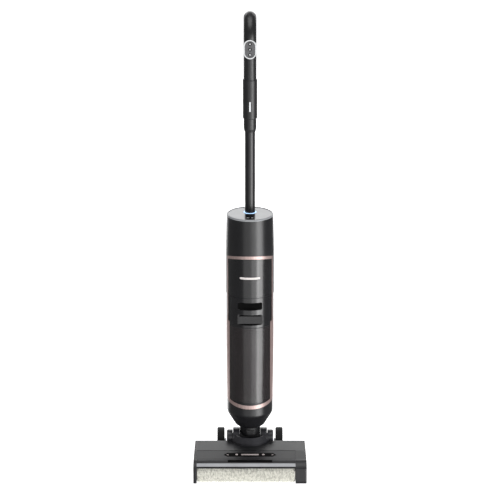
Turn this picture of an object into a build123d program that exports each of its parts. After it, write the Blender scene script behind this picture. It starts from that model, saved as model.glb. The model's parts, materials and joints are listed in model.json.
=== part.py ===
from build123d import *
from math import atan2, cos, degrees, hypot, radians, sin
import os

# Cordless wet dry floor scrubber, standing upright.
# Frame: millimetres, +X to the right seen from the front, +Y to the rear, +Z up.
# The origin is on the floor, under the centre of the machine.

# ---------------------------------------------------------------- driving dimensions (mm)
# cleaning head
HEAD_WIDTH = 280.0
HEAD_REAR_TAPER = 3.0
HEAD_FRONT_Y = -112.3
HEAD_REAR_Y = 14.5
HEAD_FLOOR_GAP = 2.0
BASE_FLOOR_Z = 8.0
WALL_TOP_ABOVE_ROLLER = 9.0
SIDE_WALL = 8.3
DRIVE_CAP_WIDTH = 25.0
WALL = 2.5
# roller and its cover
ROLLER_RADIUS = 27.0
PILE_DEPTH = 7.0
ROLLER_FRONT_Y = -112.5
ROLLER_END_GAP = 0.6
CHAMBER_GAP = 2.6
COVER_WALL = 1.9
COVER_LIP_ANGLE = 35.0
COVER_WINDOW_LOW = 43.0
COVER_WINDOW_HIGH = 60.0
CREASE_Y = -41.5
CREASE_RISE = 5.5
DECK_RISE = 3.0
COVER_FIT = 0.3
FINGER_SLOT_WIDTH = 110.0
BADGE_HALF_WIDTH = 65.5
BADGE_DEPTH = 1.0
BADGE_LENGTH = 18.0
BADGE_BAR_WIDTH = 44.0
BADGE_BAR_HEIGHT = 6.0
BADGE_STUD_RADIUS = 2.4
BADGE_STUD_OFFSET = 33.0
# what drives the roller
BEARING_RADIUS = 9.0
ROLLER_PIN_RADIUS = 5.0
ROLLER_SHAFT_RADIUS = 4.0
PLUG_LENGTH = 14.0
MOTOR_RADIUS = 14.0
MOTOR_SHAFT = 2.5
MOTOR_Y = -22.0
MOTOR_Z = 29.0
PULLEY_RADIUS = 10.0
BELT_THICKNESS = 1.6
BELT_WIDTH = 8.0
SQUEEGEE_THICKNESS = 3.0
SQUEEGEE_STEP = 1.0
# hinge between head and body
BODY_Y = 31.5
PIVOT_ABOVE_DECK = 4.5
PIN_RADIUS = 6.0
NECK_RADIUS = 25.6
BARREL_RADIUS = 20.0
CHEEK_RADIUS = 23.0
CHEEK_THICKNESS = 16.6
SHOULDER_RADIUS = 17.5
SHOULDER_THICKNESS = 14.6
BOWL_RADIUS = 41.0
BOWL_RIM = 9.0
BODY_ABOVE_PIVOT = 32.5
SPIGOT_RADIUS = 20.0
# wheels
WHEEL_RADIUS = 38.0
WHEEL_WIDTH = 18.0
WHEEL_REAR_Y = 112.5
AXLE_RADIUS = 4.0
ARM_THICKNESS = 3.4
BODY_SIDE_GAP = 1.1
# body, heights counted up from its lower end
BODY_RADIUS = 59.4
BODY_FOOT_DROP = 2.5
CONE_HEIGHT = 40.0
TANK_SEAT_HEIGHT = 80.0
TAPER_LOW_HEIGHT = 96.0
TAPER_HIGH_HEIGHT = 212.0
TANK_HEIGHT = 197.0
LID_HEIGHT = 77.0
HOUSING_HEIGHT = 201.0
SHOULDER_HEIGHT = 463.0
POCKET_HALF_WIDTH = 49.8
TANK_FIT = 0.4
TANK_WALL = 2.2
WEB_FRONT = 4.0
WEB_THICKNESS = 4.0
INLET_OFFSET = 20.0
INLET_RADIUS = 13.0
INLET_TOP_DROP = 40.0
FLOAT_HEIGHT = 18.0
FLOAT_TRAVEL_ROOM = 53.0
FILTER_RADIUS = 21.0
FILTER_HEIGHT = 24.0
RECESS_HALF_WIDTH = 30.5
RECESS_LOW_DEPTH = 9.0
RECESS_LOW_HEIGHT = 26.8
RECESS_HIGH_DEPTH = 7.0
RECESS_HIGH_HEIGHT = 19.2
LATCH_TRAVEL = 3.0
CLEAN_CAP_POCKET = 17.5
CLEAN_CAP_OFFSET = 30.0
CLEAN_OUTLET_RADIUS = 7.0
CLEAN_OUTLET_OFFSET = 29.0
PANEL_THICKNESS = 1.5
PANEL_HALF_WIDTH = 51.9
EXHAUST_HEIGHT = 60.0
EXHAUST_HALF_WIDTH = 26.0
EXHAUST_SLOTS = 9
EXHAUST_PITCH = 6.2
RAIL_X0 = 53.6
RAIL_X1 = 55.8
BAND_X1 = 58.0
FAN_BLADES = 9
# handle
WAND_OFFSET = 12.0
WAND_RADIUS = 12.5
WAND_ENGAGEMENT = 44.0
TUBE_TOP_HEIGHT = 211.0
SLEEVE_HEIGHT = 33.0
SLEEVE_RADIUS = 17.5
SLEEVE_LENGTH = 97.0
COLLAR_RADIUS = 15.5
GRIP_RADIUS = 15.5
GRIP_WALL = 2.5
GRIP_STRAIGHT = 100.5
GRIP_BEND_RADIUS = 41.0
PAD_WIDTH = 30.0
PAD_HEIGHT = 47.0
PAD_DROP = 23.8
BUTTON_RADIUS = 4.3
BUTTON_PLACES = (13.2, 0.0, -13.2)
BUTTON_NAMES = ("dispense_button", "mode_button", "power_button")
# clearances
RUN_FIT = 0.05
BUTTON_GAP = 0.35
SLIP = 0.3
EXTRA = 1.0

# ---------------------------------------------------------------- worked-out places
RIGHT_X = HEAD_WIDTH / 2
LEFT_X = -HEAD_WIDTH / 2
BAY_LEFT = LEFT_X + SIDE_WALL
PLATE_RIGHT = RIGHT_X - DRIVE_CAP_WIDTH
PLATE_LEFT = PLATE_RIGHT - WALL
ROLLER_Y = ROLLER_FRONT_Y + ROLLER_RADIUS
ROLLER_Z = ROLLER_RADIUS
CHAMBER_RADIUS = ROLLER_RADIUS + CHAMBER_GAP
COVER_RADIUS = CHAMBER_RADIUS + COVER_WALL
COVER_TOP_Z = ROLLER_Z + COVER_RADIUS
CREASE_Z = COVER_TOP_Z + CREASE_RISE
DECK_Z = CREASE_Z + DECK_RISE
PIVOT_Z = DECK_Z + PIVOT_ABOVE_DECK
BODY_Z = PIVOT_Z + BODY_ABOVE_PIVOT
TANK_Z = BODY_Z + TANK_SEAT_HEIGHT
LID_Z = TANK_Z + TANK_HEIGHT
SEAM_Z = LID_Z + LID_HEIGHT
BODY_TOP = SEAM_Z + HOUSING_HEIGHT
WAND_Y = BODY_Y + WAND_OFFSET
TUBE_TOP = BODY_TOP + TUBE_TOP_HEIGHT
SLEEVE_Z = TUBE_TOP + SLEEVE_HEIGHT - 7.0
GRIP_Z = SLEEVE_Z + SLEEVE_LENGTH
BEND_Z = GRIP_Z + GRIP_STRAIGHT
WHEEL_Y = WHEEL_REAR_Y - WHEEL_RADIUS
ARM_X = BODY_RADIUS + BODY_SIDE_GAP
WHEEL_X = ARM_X + ARM_THICKNESS + BUTTON_GAP
WHEEL_OUT_X = WHEEL_X + WHEEL_WIDTH
CHEEK_X = NECK_RADIUS + SLIP
SHOULDER_X = CHEEK_X + CHEEK_THICKNESS + EXTRA
SHOULDER_OUT_X = SHOULDER_X + SHOULDER_THICKNESS
PEDESTAL_TOP = PIVOT_Z - BARREL_RADIUS - 5.5
PLATE_TOP = BASE_FLOOR_Z + 6.0
TOP_LAYER_Z = BODY_TOP - 4.0
BASE_WALL_TOP = ROLLER_Z + WALL_TOP_ABOVE_ROLLER
BADGE_Y = (ROLLER_Y + CREASE_Y) / 2
BELT_X0 = PLATE_RIGHT + 5.0
BELT_X1 = BELT_X0 + BELT_WIDTH
MOTOR_INNER_X = CHEEK_X + CHEEK_THICKNESS + 12.0
TRAY_FRONT = ROLLER_Y + 0.75 * CHAMBER_RADIUS
SQUEEGEE_Y = TRAY_FRONT + 8.0
FILTER_Y = BODY_Y - INLET_OFFSET - 3.0
RECESS_LOW_Z = LID_Z + 20.8
RECESS_HIGH_Z = LID_Z + 56.1
PANEL_LOW = SEAM_Z + 1.5
PANEL_HIGH = SEAM_Z + 100.5
EXHAUST_Z = SEAM_Z + 30.0
RELEASE_Z = BODY_TOP - 32.0
BAND_TOP = LID_Z + 9.0
BAND_LOW = TANK_Z - 4.0
BAR_TOP = SEAM_Z + 105.0
BAR_LOW = TANK_Z - 13.2
PAD_Z = BEND_Z - PAD_DROP


# ---------------------------------------------------------------- small makers
def slab(x0, x1, y0, y1, z0, z1):
    """A box between two corners."""
    return Pos((x0 + x1) / 2, (y0 + y1) / 2, (z0 + z1) / 2) * Box(x1 - x0, y1 - y0, z1 - z0)


def post(radius, z0, z1, x=0.0, y=0.0):
    """A cylinder standing on z0."""
    return Pos(x, y, (z0 + z1) / 2) * Cylinder(radius, z1 - z0)


def x_rod(radius, x0, x1, y, z):
    """A cylinder lying along X."""
    return Pos((x0 + x1) / 2, y, z) * Rot(0, 90, 0) * Cylinder(radius, abs(x1 - x0))


def y_rod(radius, y0, y1, x, z):
    """A cylinder lying along Y."""
    return Pos(x, (y0 + y1) / 2, z) * Rot(90, 0, 0) * Cylinder(radius, abs(y1 - y0))


def tube(outer, inner, z0, z1, x=0.0, y=0.0):
    """An upright tube."""
    return post(outer, z0, z1, x, y) - post(inner, z0 - EXTRA, z1 + EXTRA, x, y)


def x_tube(outer, inner, x0, x1, y, z):
    """A tube lying along X."""
    return x_rod(outer, x0, x1, y, z) - x_rod(inner, x0 - EXTRA, x1 + EXTRA, y, z)


def side_prism(sketch, x0, x1):
    """A YZ outline drawn out along X."""
    return extrude(Plane.YZ.offset(x0) * sketch, x1 - x0)


def front_prism(sketch, y0, y1):
    """An XZ outline drawn out along +Y."""
    return extrude(Plane.XZ.offset(-y0) * sketch, -(y1 - y0))


def mirrored(shape):
    """The same piece on the other side of the machine."""
    return mirror(shape, Plane.YZ)


def write(name, shape):
    """One STEP file for one named piece."""
    export_step(shape, f"parts/{name}.step")


# ---------------------------------------------------------------- forms that several pieces share
def body_form(inset, z0, z1):
    """The turned outer form of the body, reduced by inset, between two heights."""
    foot_radius = BODY_RADIUS - BODY_FOOT_DROP
    points = [
        (0, BODY_TOP),
        (BODY_RADIUS - 2.2 - inset, BODY_TOP),
        (BODY_RADIUS - inset, BODY_Z + SHOULDER_HEIGHT),
        (BODY_RADIUS - inset, BODY_Z + TAPER_HIGH_HEIGHT),
        (foot_radius - inset, BODY_Z + TAPER_LOW_HEIGHT),
        (foot_radius - inset, BODY_Z + CONE_HEIGHT),
        (foot_radius - 20.5 - inset, BODY_Z + 6.0),
        (NECK_RADIUS + 2.4 - inset, BODY_Z),
        (0, BODY_Z),
    ]
    radii = [0, 3.0, 60.0, 60.0, 60.0, 20.0, 6.0, 0, 0]
    outline = make_face(FilletPolyline(*points, radius=radii, close=True))
    form = revolve(Plane.XZ * outline, Axis.Z)
    reach = 2 * BODY_RADIUS
    return Pos(0, BODY_Y, 0) * (form & slab(-reach, reach, -reach, reach, z0, z1))


def head_outline(inset):
    """The side outline of the head, front arc to rear edge, reduced by inset."""
    arc = Pos(ROLLER_Y, ROLLER_Z) * Circle(COVER_RADIUS - inset)
    rear = HEAD_REAR_Y - inset
    top = make_face(
        Polyline(
            (ROLLER_Y, COVER_TOP_Z - inset),
            (CREASE_Y, CREASE_Z - inset),
            (rear, DECK_Z - inset),
            (rear, BASE_FLOOR_Z + inset),
            (ROLLER_Y, BASE_FLOOR_Z + inset),
            close=True,
        )
    )
    front = HEAD_FRONT_Y + inset
    low = HEAD_FLOOR_GAP + inset
    keep = Pos((front + HEAD_REAR_Y) / 2, (low + DECK_Z) / 2) * Rectangle(HEAD_REAR_Y - front, DECK_Z - low)
    return (arc + top) & keep


def plan_form():
    """The plan of the head: a little wider at the front, with rounded front corners."""
    rear = RIGHT_X - HEAD_REAR_TAPER
    plan = make_face(
        Polyline(
            (LEFT_X, ROLLER_FRONT_Y),
            (RIGHT_X, ROLLER_FRONT_Y),
            (rear, HEAD_REAR_Y),
            (-rear, HEAD_REAR_Y),
            close=True,
        )
    )
    corners = plan.vertices().group_by(Axis.Y)[0]
    return extrude(fillet(corners, 5.0), DECK_Z)


def body_slice(width, y0, y1, z0, z1):
    """A box round the body axis that cuts a piece out of the body form."""
    return slab(-width, width, BODY_Y + y0, BODY_Y + y1, z0, z1)


# ---------------------------------------------------------------- cleaning head
def head_base(side_plate):
    """Tray under the head: chamber wall, floor, rear plate, wheel arms and the drive side plate."""
    def tray(inset, z0, z1):
        front = TRAY_FRONT + inset
        box = Pos((front + HEAD_REAR_Y - inset) / 2, (z0 + z1) / 2)
        return box * Rectangle(HEAD_REAR_Y - inset - front, z1 - z0) - Pos(ROLLER_Y, ROLLER_Z) * Circle(
            CHAMBER_RADIUS + inset
        )

    body = side_prism(tray(0, BASE_FLOOR_Z, BASE_WALL_TOP), BAY_LEFT, PLATE_LEFT)
    pocket = side_prism(tray(WALL, BASE_FLOOR_Z + WALL, BASE_WALL_TOP + EXTRA), BAY_LEFT + WALL, PLATE_LEFT - WALL)
    body = body - pocket
    half = BOWL_RADIUS + BOWL_RIM + 0.2
    body = body - slab(-half, half, HEAD_REAR_Y - WALL - EXTRA, HEAD_REAR_Y + EXTRA, PLATE_TOP, BASE_WALL_TOP + EXTRA)
    rear_plate = slab(-ARM_X, ARM_X, HEAD_REAR_Y - WALL, BODY_Y + 30.0, BASE_FLOOR_Z, PLATE_TOP)
    arms = []
    for side in (-1, 1):
        x0 = side * ARM_X
        x1 = side * (ARM_X + ARM_THICKNESS)
        arm = make_face(
            Polyline(
                (HEAD_REAR_Y - WALL, BASE_FLOOR_Z),
                (WHEEL_Y, WHEEL_RADIUS - 10.0),
                (WHEEL_Y, WHEEL_RADIUS + 10.0),
                (HEAD_REAR_Y - WALL, BASE_WALL_TOP + 8.0),
                close=True,
            )
        ) + Pos(WHEEL_Y, WHEEL_RADIUS) * Circle(10.0)
        arms.append(side_prism(arm, min(x0, x1), max(x0, x1)))
    body = body + rear_plate + arms[0] + arms[1] + side_plate
    for side in (-1, 1):
        body = body - x_rod(AXLE_RADIUS, side * (ARM_X - EXTRA), side * (WHEEL_X + EXTRA), WHEEL_Y, WHEEL_RADIUS)
    mouth = slab(-38, 38, TRAY_FRONT, ROLLER_Y + CHAMBER_RADIUS + 2 * WALL, ROLLER_Z - 8.0, ROLLER_Z + 5.0)
    shaft_hole = x_rod(MOTOR_SHAFT + EXTRA, PLATE_LEFT - WALL - EXTRA, PLATE_RIGHT + EXTRA, MOTOR_Y, MOTOR_Z)
    step = slab(BAY_LEFT - EXTRA, PLATE_RIGHT + EXTRA, TRAY_FRONT - EXTRA, SQUEEGEE_Y + SQUEEGEE_THICKNESS,
                BASE_FLOOR_Z - EXTRA, BASE_FLOOR_Z + SQUEEGEE_STEP)
    return body - mouth - shaft_hole - step


def head_deck():
    """Fixed top of the head behind the lift-off cover, open for the hinge bowl."""
    outer = side_prism(head_outline(0), BAY_LEFT, PLATE_LEFT)
    inner = side_prism(head_outline(WALL), BAY_LEFT - EXTRA, PLATE_LEFT + EXTRA)
    keep = slab(BAY_LEFT, PLATE_LEFT, CREASE_Y, HEAD_REAR_Y, BASE_WALL_TOP, DECK_Z)
    shell = (outer - inner) & keep
    front_wall = slab(BAY_LEFT, PLATE_LEFT, CREASE_Y, CREASE_Y + WALL, BASE_WALL_TOP + 8.0, CREASE_Z - 0.5)
    bowl = post(BOWL_RADIUS + BOWL_RIM + SLIP, BASE_WALL_TOP - EXTRA, DECK_Z + EXTRA, 0, BODY_Y)
    arms = slab(-ARM_X - ARM_THICKNESS, ARM_X + ARM_THICKNESS, HEAD_REAR_Y - WALL - SLIP, HEAD_REAR_Y + EXTRA,
                BASE_WALL_TOP - EXTRA, BASE_WALL_TOP + 8.5)
    return shell + front_wall - bowl - arms


def left_side_cap():
    """Left end wall of the head, with the pin that the roller runs on."""
    wall = side_prism(head_outline(0), LEFT_X, BAY_LEFT)
    pocket = side_prism(head_outline(WALL), LEFT_X + WALL, BAY_LEFT + EXTRA)
    behind = slab(LEFT_X, BAY_LEFT + EXTRA, CREASE_Y + WALL, HEAD_REAR_Y, 0, DECK_Z)
    return (wall & plan_form()) - (pocket & behind)


def roller_pin():
    """Pin on the left end wall."""
    return x_rod(ROLLER_PIN_RADIUS, BAY_LEFT - 4.0, BAY_LEFT + PLUG_LENGTH - 2.0, ROLLER_Y, ROLLER_Z)


def drive_cap():
    """Right end housing round the belt."""
    shell = side_prism(head_outline(0), PLATE_RIGHT, RIGHT_X) & plan_form()
    return shell - side_prism(head_outline(WALL), PLATE_RIGHT - EXTRA, RIGHT_X - HEAD_REAR_TAPER - WALL)


def drive_side_plate():
    """Plate between the roller bay and the belt."""
    plate = side_prism(head_outline(0), PLATE_LEFT, PLATE_RIGHT)
    return plate - x_rod(BEARING_RADIUS, PLATE_LEFT - EXTRA, PLATE_RIGHT + EXTRA, ROLLER_Y, ROLLER_Z)


def cover_arc(outer, inner, low, high, x0, x1):
    """A curved strip of the cover, between two angles above the horizontal, about the roller axis."""
    ring = Circle(outer) - Circle(inner)
    reach = 2 * outer
    wedge = make_face(
        Polyline(
            (0, 0),
            (-reach * cos(radians(low)), reach * sin(radians(low))),
            (-reach * cos(radians((low + high) / 2)) * 1.2, reach * sin(radians((low + high) / 2)) * 1.2),
            (-reach * cos(radians(high)), reach * sin(radians(high))),
            close=True,
        )
    )
    return side_prism(Pos(ROLLER_Y, ROLLER_Z) * (ring & wedge), x0, x1)


def brush_cover():
    """Lift-off cover over the roller, with a finger slot and a badge recess."""
    x0 = BAY_LEFT + COVER_FIT
    x1 = PLATE_LEFT - COVER_FIT
    arc = cover_arc(COVER_RADIUS, CHAMBER_RADIUS, COVER_WINDOW_HIGH, 90.0, x0, x1)
    rear = CREASE_Y - COVER_FIT
    band = make_face(
        Polyline(
            (ROLLER_Y, COVER_TOP_Z),
            (rear, CREASE_Z - COVER_FIT * CREASE_RISE / (CREASE_Y - ROLLER_Y)),
            (rear, CREASE_Z - 4.5),
            (ROLLER_Y, COVER_TOP_Z - COVER_WALL),
            close=True,
        )
    )
    rib = Pos(rear - 1.5, CREASE_Z - 8.0) * Rectangle(3.0, 12.0)
    cover = arc + side_prism(band + rib, x0, x1)
    slot = FINGER_SLOT_WIDTH / 2
    cover = cover - side_prism(finger_slot_outline(), -slot, slot)
    return cover - badge_shape(BADGE_HALF_WIDTH, BADGE_DEPTH)


def finger_slot_outline():
    """Pocket under the front crease that a finger hooks."""
    ring = Circle(COVER_RADIUS + EXTRA) - Circle(CHAMBER_RADIUS + 0.8)
    wedge = make_face(Polyline((0, 0), (-60 * cos(radians(66)), 60 * sin(radians(66))),
                               (-60 * cos(radians(84)), 60 * sin(radians(84))), close=True))
    return Pos(ROLLER_Y, ROLLER_Z) * (ring & wedge)


def band_tilt():
    """Slope of the band between the two creases, in degrees."""
    return Vector(CREASE_Y - ROLLER_Y, CREASE_RISE, 0).get_signed_angle(Vector(1, 0, 0))


def badge_shape(half_width, depth):
    """Long plate with pointed ends, lying in the band between the creases."""
    half = BADGE_LENGTH / 2
    outline = make_face(
        Polyline(
            (-half_width, 0),
            (-half_width + half, half),
            (half_width - half, half),
            (half_width, 0),
            (half_width - half, -half),
            (-half_width + half, -half),
            close=True,
        )
    )
    middle_z = COVER_TOP_Z + CREASE_RISE / 2
    tilt = abs(band_tilt())
    return Pos(0, BADGE_Y, middle_z) * Rot(tilt, 0, 0) * extrude(Pos(0, 0, -depth) * outline, depth)


def cover_badge():
    """Plain badge plate in the recess."""
    return badge_shape(BADGE_HALF_WIDTH - 0.3, BADGE_DEPTH)


def badge_marks():
    """Two round studs and a plain centre bar standing on the badge."""
    middle_z = COVER_TOP_Z + CREASE_RISE / 2
    place = Pos(0, BADGE_Y, middle_z) * Rot(abs(band_tilt()), 0, 0)
    bar = Pos(0, 0, 0.25) * Box(BADGE_BAR_WIDTH, BADGE_BAR_HEIGHT, 0.5)
    offsets = (-BADGE_STUD_OFFSET, BADGE_STUD_OFFSET)
    studs = [Pos(x, 0, 0.35) * Cylinder(BADGE_STUD_RADIUS, 0.7) for x in offsets]
    return Compound(children=[place * bar, place * studs[0], place * studs[1]])


def cover_window():
    """Clear strip of the cover in front of the roller."""
    return cover_arc(COVER_RADIUS, CHAMBER_RADIUS, COVER_WINDOW_LOW, COVER_WINDOW_HIGH,
                     BAY_LEFT + COVER_FIT, PLATE_LEFT - COVER_FIT)


def cover_lip():
    """Rubber bumper along the lower edge of the window."""
    return cover_arc(COVER_RADIUS, CHAMBER_RADIUS, COVER_LIP_ANGLE, COVER_WINDOW_LOW,
                     BAY_LEFT + COVER_FIT, PLATE_LEFT - COVER_FIT)


def roller_scraper():
    """Blade that wipes the pile, on the rear wall of the chamber."""
    outline = Pos(ROLLER_Y + CHAMBER_RADIUS - 1.2, BASE_WALL_TOP - 1.0) * Rectangle(3.2, 2.0)
    outline = outline - Pos(ROLLER_Y, ROLLER_Z) * Circle(ROLLER_RADIUS + SLIP)
    outline = outline & (Pos(ROLLER_Y, ROLLER_Z) * Circle(CHAMBER_RADIUS))
    return side_prism(outline, BAY_LEFT + 4.0, PLATE_LEFT - 4.0)


def floor_squeegee():
    """Rubber strip under the head behind the roller."""
    return slab(BAY_LEFT + 5.0, PLATE_LEFT - 5.0, SQUEEGEE_Y, SQUEEGEE_Y + SQUEEGEE_THICKNESS,
                1.0, BASE_FLOOR_Z + SQUEEGEE_STEP)


def roller_core():
    """Hollow core of the roller with a bored plug in each end."""
    x0 = BAY_LEFT + ROLLER_END_GAP
    x1 = PLATE_LEFT - ROLLER_END_GAP
    core = x_tube(ROLLER_RADIUS - PILE_DEPTH, ROLLER_RADIUS - PILE_DEPTH - 2.5, x0, x1, ROLLER_Y, ROLLER_Z)
    bore = ROLLER_PIN_RADIUS + RUN_FIT
    plug = x_tube(ROLLER_RADIUS - PILE_DEPTH - 2.0, bore, x0, x0 + PLUG_LENGTH, ROLLER_Y, ROLLER_Z)
    drive = x_rod(ROLLER_RADIUS - PILE_DEPTH - 2.0, x1 - PLUG_LENGTH, x1, ROLLER_Y, ROLLER_Z)
    shaft = x_rod(ROLLER_SHAFT_RADIUS, x1 - PLUG_LENGTH, BELT_X1 + 3.0, ROLLER_Y, ROLLER_Z)
    return core + plug + drive + shaft


def roller_pile():
    """Plain sleeve for the roller's pile."""
    inner = ROLLER_RADIUS - PILE_DEPTH
    return x_tube(ROLLER_RADIUS, inner, BAY_LEFT + ROLLER_END_GAP, PLATE_LEFT - ROLLER_END_GAP, ROLLER_Y, ROLLER_Z)


def roller_pulley():
    """Belt pulley on the roller's shaft."""
    return x_tube(PULLEY_RADIUS, ROLLER_SHAFT_RADIUS, BELT_X0 - 1.0, BELT_X1 + 1.0, ROLLER_Y, ROLLER_Z)


def roller_bearing():
    """Bearing of the roller's shaft in the side plate."""
    return x_tube(BEARING_RADIUS, ROLLER_SHAFT_RADIUS + RUN_FIT, PLATE_LEFT, PLATE_RIGHT + 2.0, ROLLER_Y, ROLLER_Z)


def drive_motor():
    """Roller motor lying in the tray."""
    can = x_rod(MOTOR_RADIUS, MOTOR_INNER_X, PLATE_LEFT - WALL, MOTOR_Y, MOTOR_Z)
    return can - x_rod(MOTOR_SHAFT + RUN_FIT, PLATE_LEFT - 14.0, PLATE_LEFT, MOTOR_Y, MOTOR_Z)


def drive_pulley():
    """Motor shaft with its belt pulley."""
    shaft = x_rod(MOTOR_SHAFT, PLATE_LEFT - 13.0, BELT_X1 + 3.0, MOTOR_Y, MOTOR_Z)
    return shaft + x_rod(PULLEY_RADIUS, BELT_X0 - 1.0, BELT_X1 + 1.0, MOTOR_Y, MOTOR_Z)


def drive_belt():
    """Toothed belt round both pulleys."""
    span = hypot(MOTOR_Y - ROLLER_Y, MOTOR_Z - ROLLER_Z)
    inner = PULLEY_RADIUS + RUN_FIT
    loop = SlotCenterToCenter(span, 2 * (inner + BELT_THICKNESS)) - SlotCenterToCenter(span, 2 * inner)
    tilt = degrees(atan2(MOTOR_Z - ROLLER_Z, MOTOR_Y - ROLLER_Y))
    middle = Pos((MOTOR_Y + ROLLER_Y) / 2, (MOTOR_Z + ROLLER_Z) / 2)
    return side_prism(middle * Rot(0, 0, tilt) * loop, BELT_X0, BELT_X1)


def pivot_cap():
    """Right shoulder of the hinge, standing on the rear plate."""
    x0 = SHOULDER_X
    x1 = SHOULDER_OUT_X
    barrel = x_rod(SHOULDER_RADIUS, x0, x1, BODY_Y, PIVOT_Z)
    barrel = fillet(barrel.edges().filter_by(GeomType.CIRCLE).sort_by(Axis.X)[-1], 3.0)
    leg = slab(x0, x1 - 3.0, BODY_Y - 14.0, BODY_Y + 14.0, PLATE_TOP, PIVOT_Z)
    return barrel + leg


def hinge_saddle():
    """Hinge bowl, open to the rear, with a cheek each side of the neck."""
    outer = BOWL_RADIUS + BOWL_RIM
    rim = PIVOT_Z + 11.5
    ring = make_face(
        Polyline(
            (BOWL_RADIUS - 3.0, PEDESTAL_TOP),
            (outer, PEDESTAL_TOP),
            (outer, DECK_Z + 2.5),
            (BOWL_RADIUS + 1.0, rim),
            (BOWL_RADIUS - 1.0, rim + 0.4),
            (BOWL_RADIUS - 3.0, rim - 2.0),
            close=True,
        )
    )
    bowl = Pos(0, BODY_Y, 0) * revolve(Plane.XZ * ring, Axis.Z)
    bowl = bowl & slab(-outer, outer, BODY_Y - outer, BODY_Y, 0, 2 * rim)
    wide = CHEEK_X + CHEEK_THICKNESS
    pedestal = slab(-wide, wide, BODY_Y - wide, BODY_Y + 24.0, PLATE_TOP, PEDESTAL_TOP)
    pedestal = pedestal - slab(-wide + 3.0, wide - 3.0, BODY_Y - wide + 3.0, BODY_Y + 21.0,
                               PLATE_TOP - EXTRA, PEDESTAL_TOP - 3.0)
    foot = post(outer, PEDESTAL_TOP - 3.0, PEDESTAL_TOP, 0, BODY_Y)
    foot = foot & slab(-outer, outer, BODY_Y - outer, BODY_Y, 0, PIVOT_Z)
    saddle = bowl + pedestal + foot
    for side in (-1, 1):
        x0 = side * CHEEK_X
        x1 = side * wide
        cheek = x_rod(CHEEK_RADIUS, x0, x1, BODY_Y, PIVOT_Z)
        cheek = cheek + slab(min(x0, x1), max(x0, x1), BODY_Y - 20.0, BODY_Y + 20.0, PEDESTAL_TOP, PIVOT_Z)
        saddle = saddle + cheek
    saddle = saddle - x_rod(PIN_RADIUS, -wide - EXTRA, wide + EXTRA, BODY_Y, PIVOT_Z)
    room = slab(SHOULDER_X, SHOULDER_OUT_X, BODY_Y - SHOULDER_RADIUS, BODY_Y + EXTRA, PEDESTAL_TOP - 4.0, 2 * rim)
    return saddle - room - mirrored(room)


# ---------------------------------------------------------------- wheels
def tyre(side):
    """Rubber tyre of one rear wheel."""
    band = x_rod(WHEEL_RADIUS, side * WHEEL_X, side * WHEEL_OUT_X, WHEEL_Y, WHEEL_RADIUS)
    band = fillet(band.edges().filter_by(GeomType.CIRCLE), 3.0)
    return band - x_rod(WHEEL_RADIUS - 4.0, side * (WHEEL_X - EXTRA), side * (WHEEL_OUT_X + EXTRA), WHEEL_Y, WHEEL_RADIUS)


def wheel_hub(side):
    """Disc of one rear wheel, dished on its outer face."""
    disc = x_rod(WHEEL_RADIUS - 4.0, side * WHEEL_X, side * (WHEEL_OUT_X - 2.0), WHEEL_Y, WHEEL_RADIUS)
    dish = x_rod(WHEEL_RADIUS - 8.0, side * (WHEEL_OUT_X - 5.0), side * WHEEL_OUT_X, WHEEL_Y, WHEEL_RADIUS)
    boss = x_rod(11.0, side * (WHEEL_OUT_X - 6.0), side * (WHEEL_OUT_X - 2.0), WHEEL_Y, WHEEL_RADIUS)
    bore = x_rod(AXLE_RADIUS + RUN_FIT, side * (WHEEL_X - EXTRA), side * WHEEL_OUT_X, WHEEL_Y, WHEEL_RADIUS)
    return disc - dish + boss - bore


def wheel_axle(side):
    """Stub axle fixed in the wheel arm, with a head outside the wheel."""
    pin = x_rod(AXLE_RADIUS, side * ARM_X, side * (WHEEL_OUT_X - 1.0), WHEEL_Y, WHEEL_RADIUS)
    return pin + x_rod(6.5, side * (WHEEL_OUT_X - 1.7), side * (WHEEL_OUT_X + 0.3), WHEEL_Y, WHEEL_RADIUS)


# ---------------------------------------------------------------- neck
def neck_housing():
    """Hollow neck: pivot barrel between the cheeks, and a spigot that the body turns on."""
    stem_low = PIVOT_Z + 10.0
    stem = post(NECK_RADIUS, stem_low, BODY_Z - SLIP, 0, BODY_Y)
    stem = stem - slab(-60, 60, BODY_Y - 60, BODY_Y + 60, 0, stem_low)
    barrel = x_rod(BARREL_RADIUS, -NECK_RADIUS, NECK_RADIUS, BODY_Y, PIVOT_Z)
    spigot = post(SPIGOT_RADIUS, BODY_Z - EXTRA, BODY_Z + 9.0, 0, BODY_Y)
    neck = stem + barrel + spigot
    neck = neck - post(SPIGOT_RADIUS - 3.0, PIVOT_Z, BODY_Z + 9.0 + EXTRA, 0, BODY_Y)
    neck = neck - x_rod(BARREL_RADIUS - 5.0, -NECK_RADIUS + 5.0, NECK_RADIUS - 5.0, BODY_Y, PIVOT_Z)
    return neck - x_rod(PIN_RADIUS + RUN_FIT, -NECK_RADIUS - EXTRA, NECK_RADIUS + EXTRA, BODY_Y, PIVOT_Z)


def neck_key():
    """Small wedge-shaped cover on the front of the neck."""
    top = PIVOT_Z + 26.5
    outline = make_face(Polyline((-9, top), (9, top), (6, top - 12), (-6, top - 12), close=True))
    block = front_prism(outline, BODY_Y - NECK_RADIUS - 1.4, BODY_Y - NECK_RADIUS + 6.0)
    return block - post(NECK_RADIUS, PIVOT_Z, BODY_Z, 0, BODY_Y)


def recline_pins():
    """Two pins that carry the neck in the cheeks."""
    inner = NECK_RADIUS - 5.0
    outer = CHEEK_X + CHEEK_THICKNESS
    right = x_rod(PIN_RADIUS, inner, outer, BODY_Y, PIVOT_Z)
    return Compound(children=[right, mirrored(right)])


def swivel_ring():
    """Clip ring on the spigot that holds the body on the neck."""
    z = BODY_Z + 5.2
    return tube(SPIGOT_RADIUS + 3.5, SPIGOT_RADIUS, z, z + 2.5, 0, BODY_Y)


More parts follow.
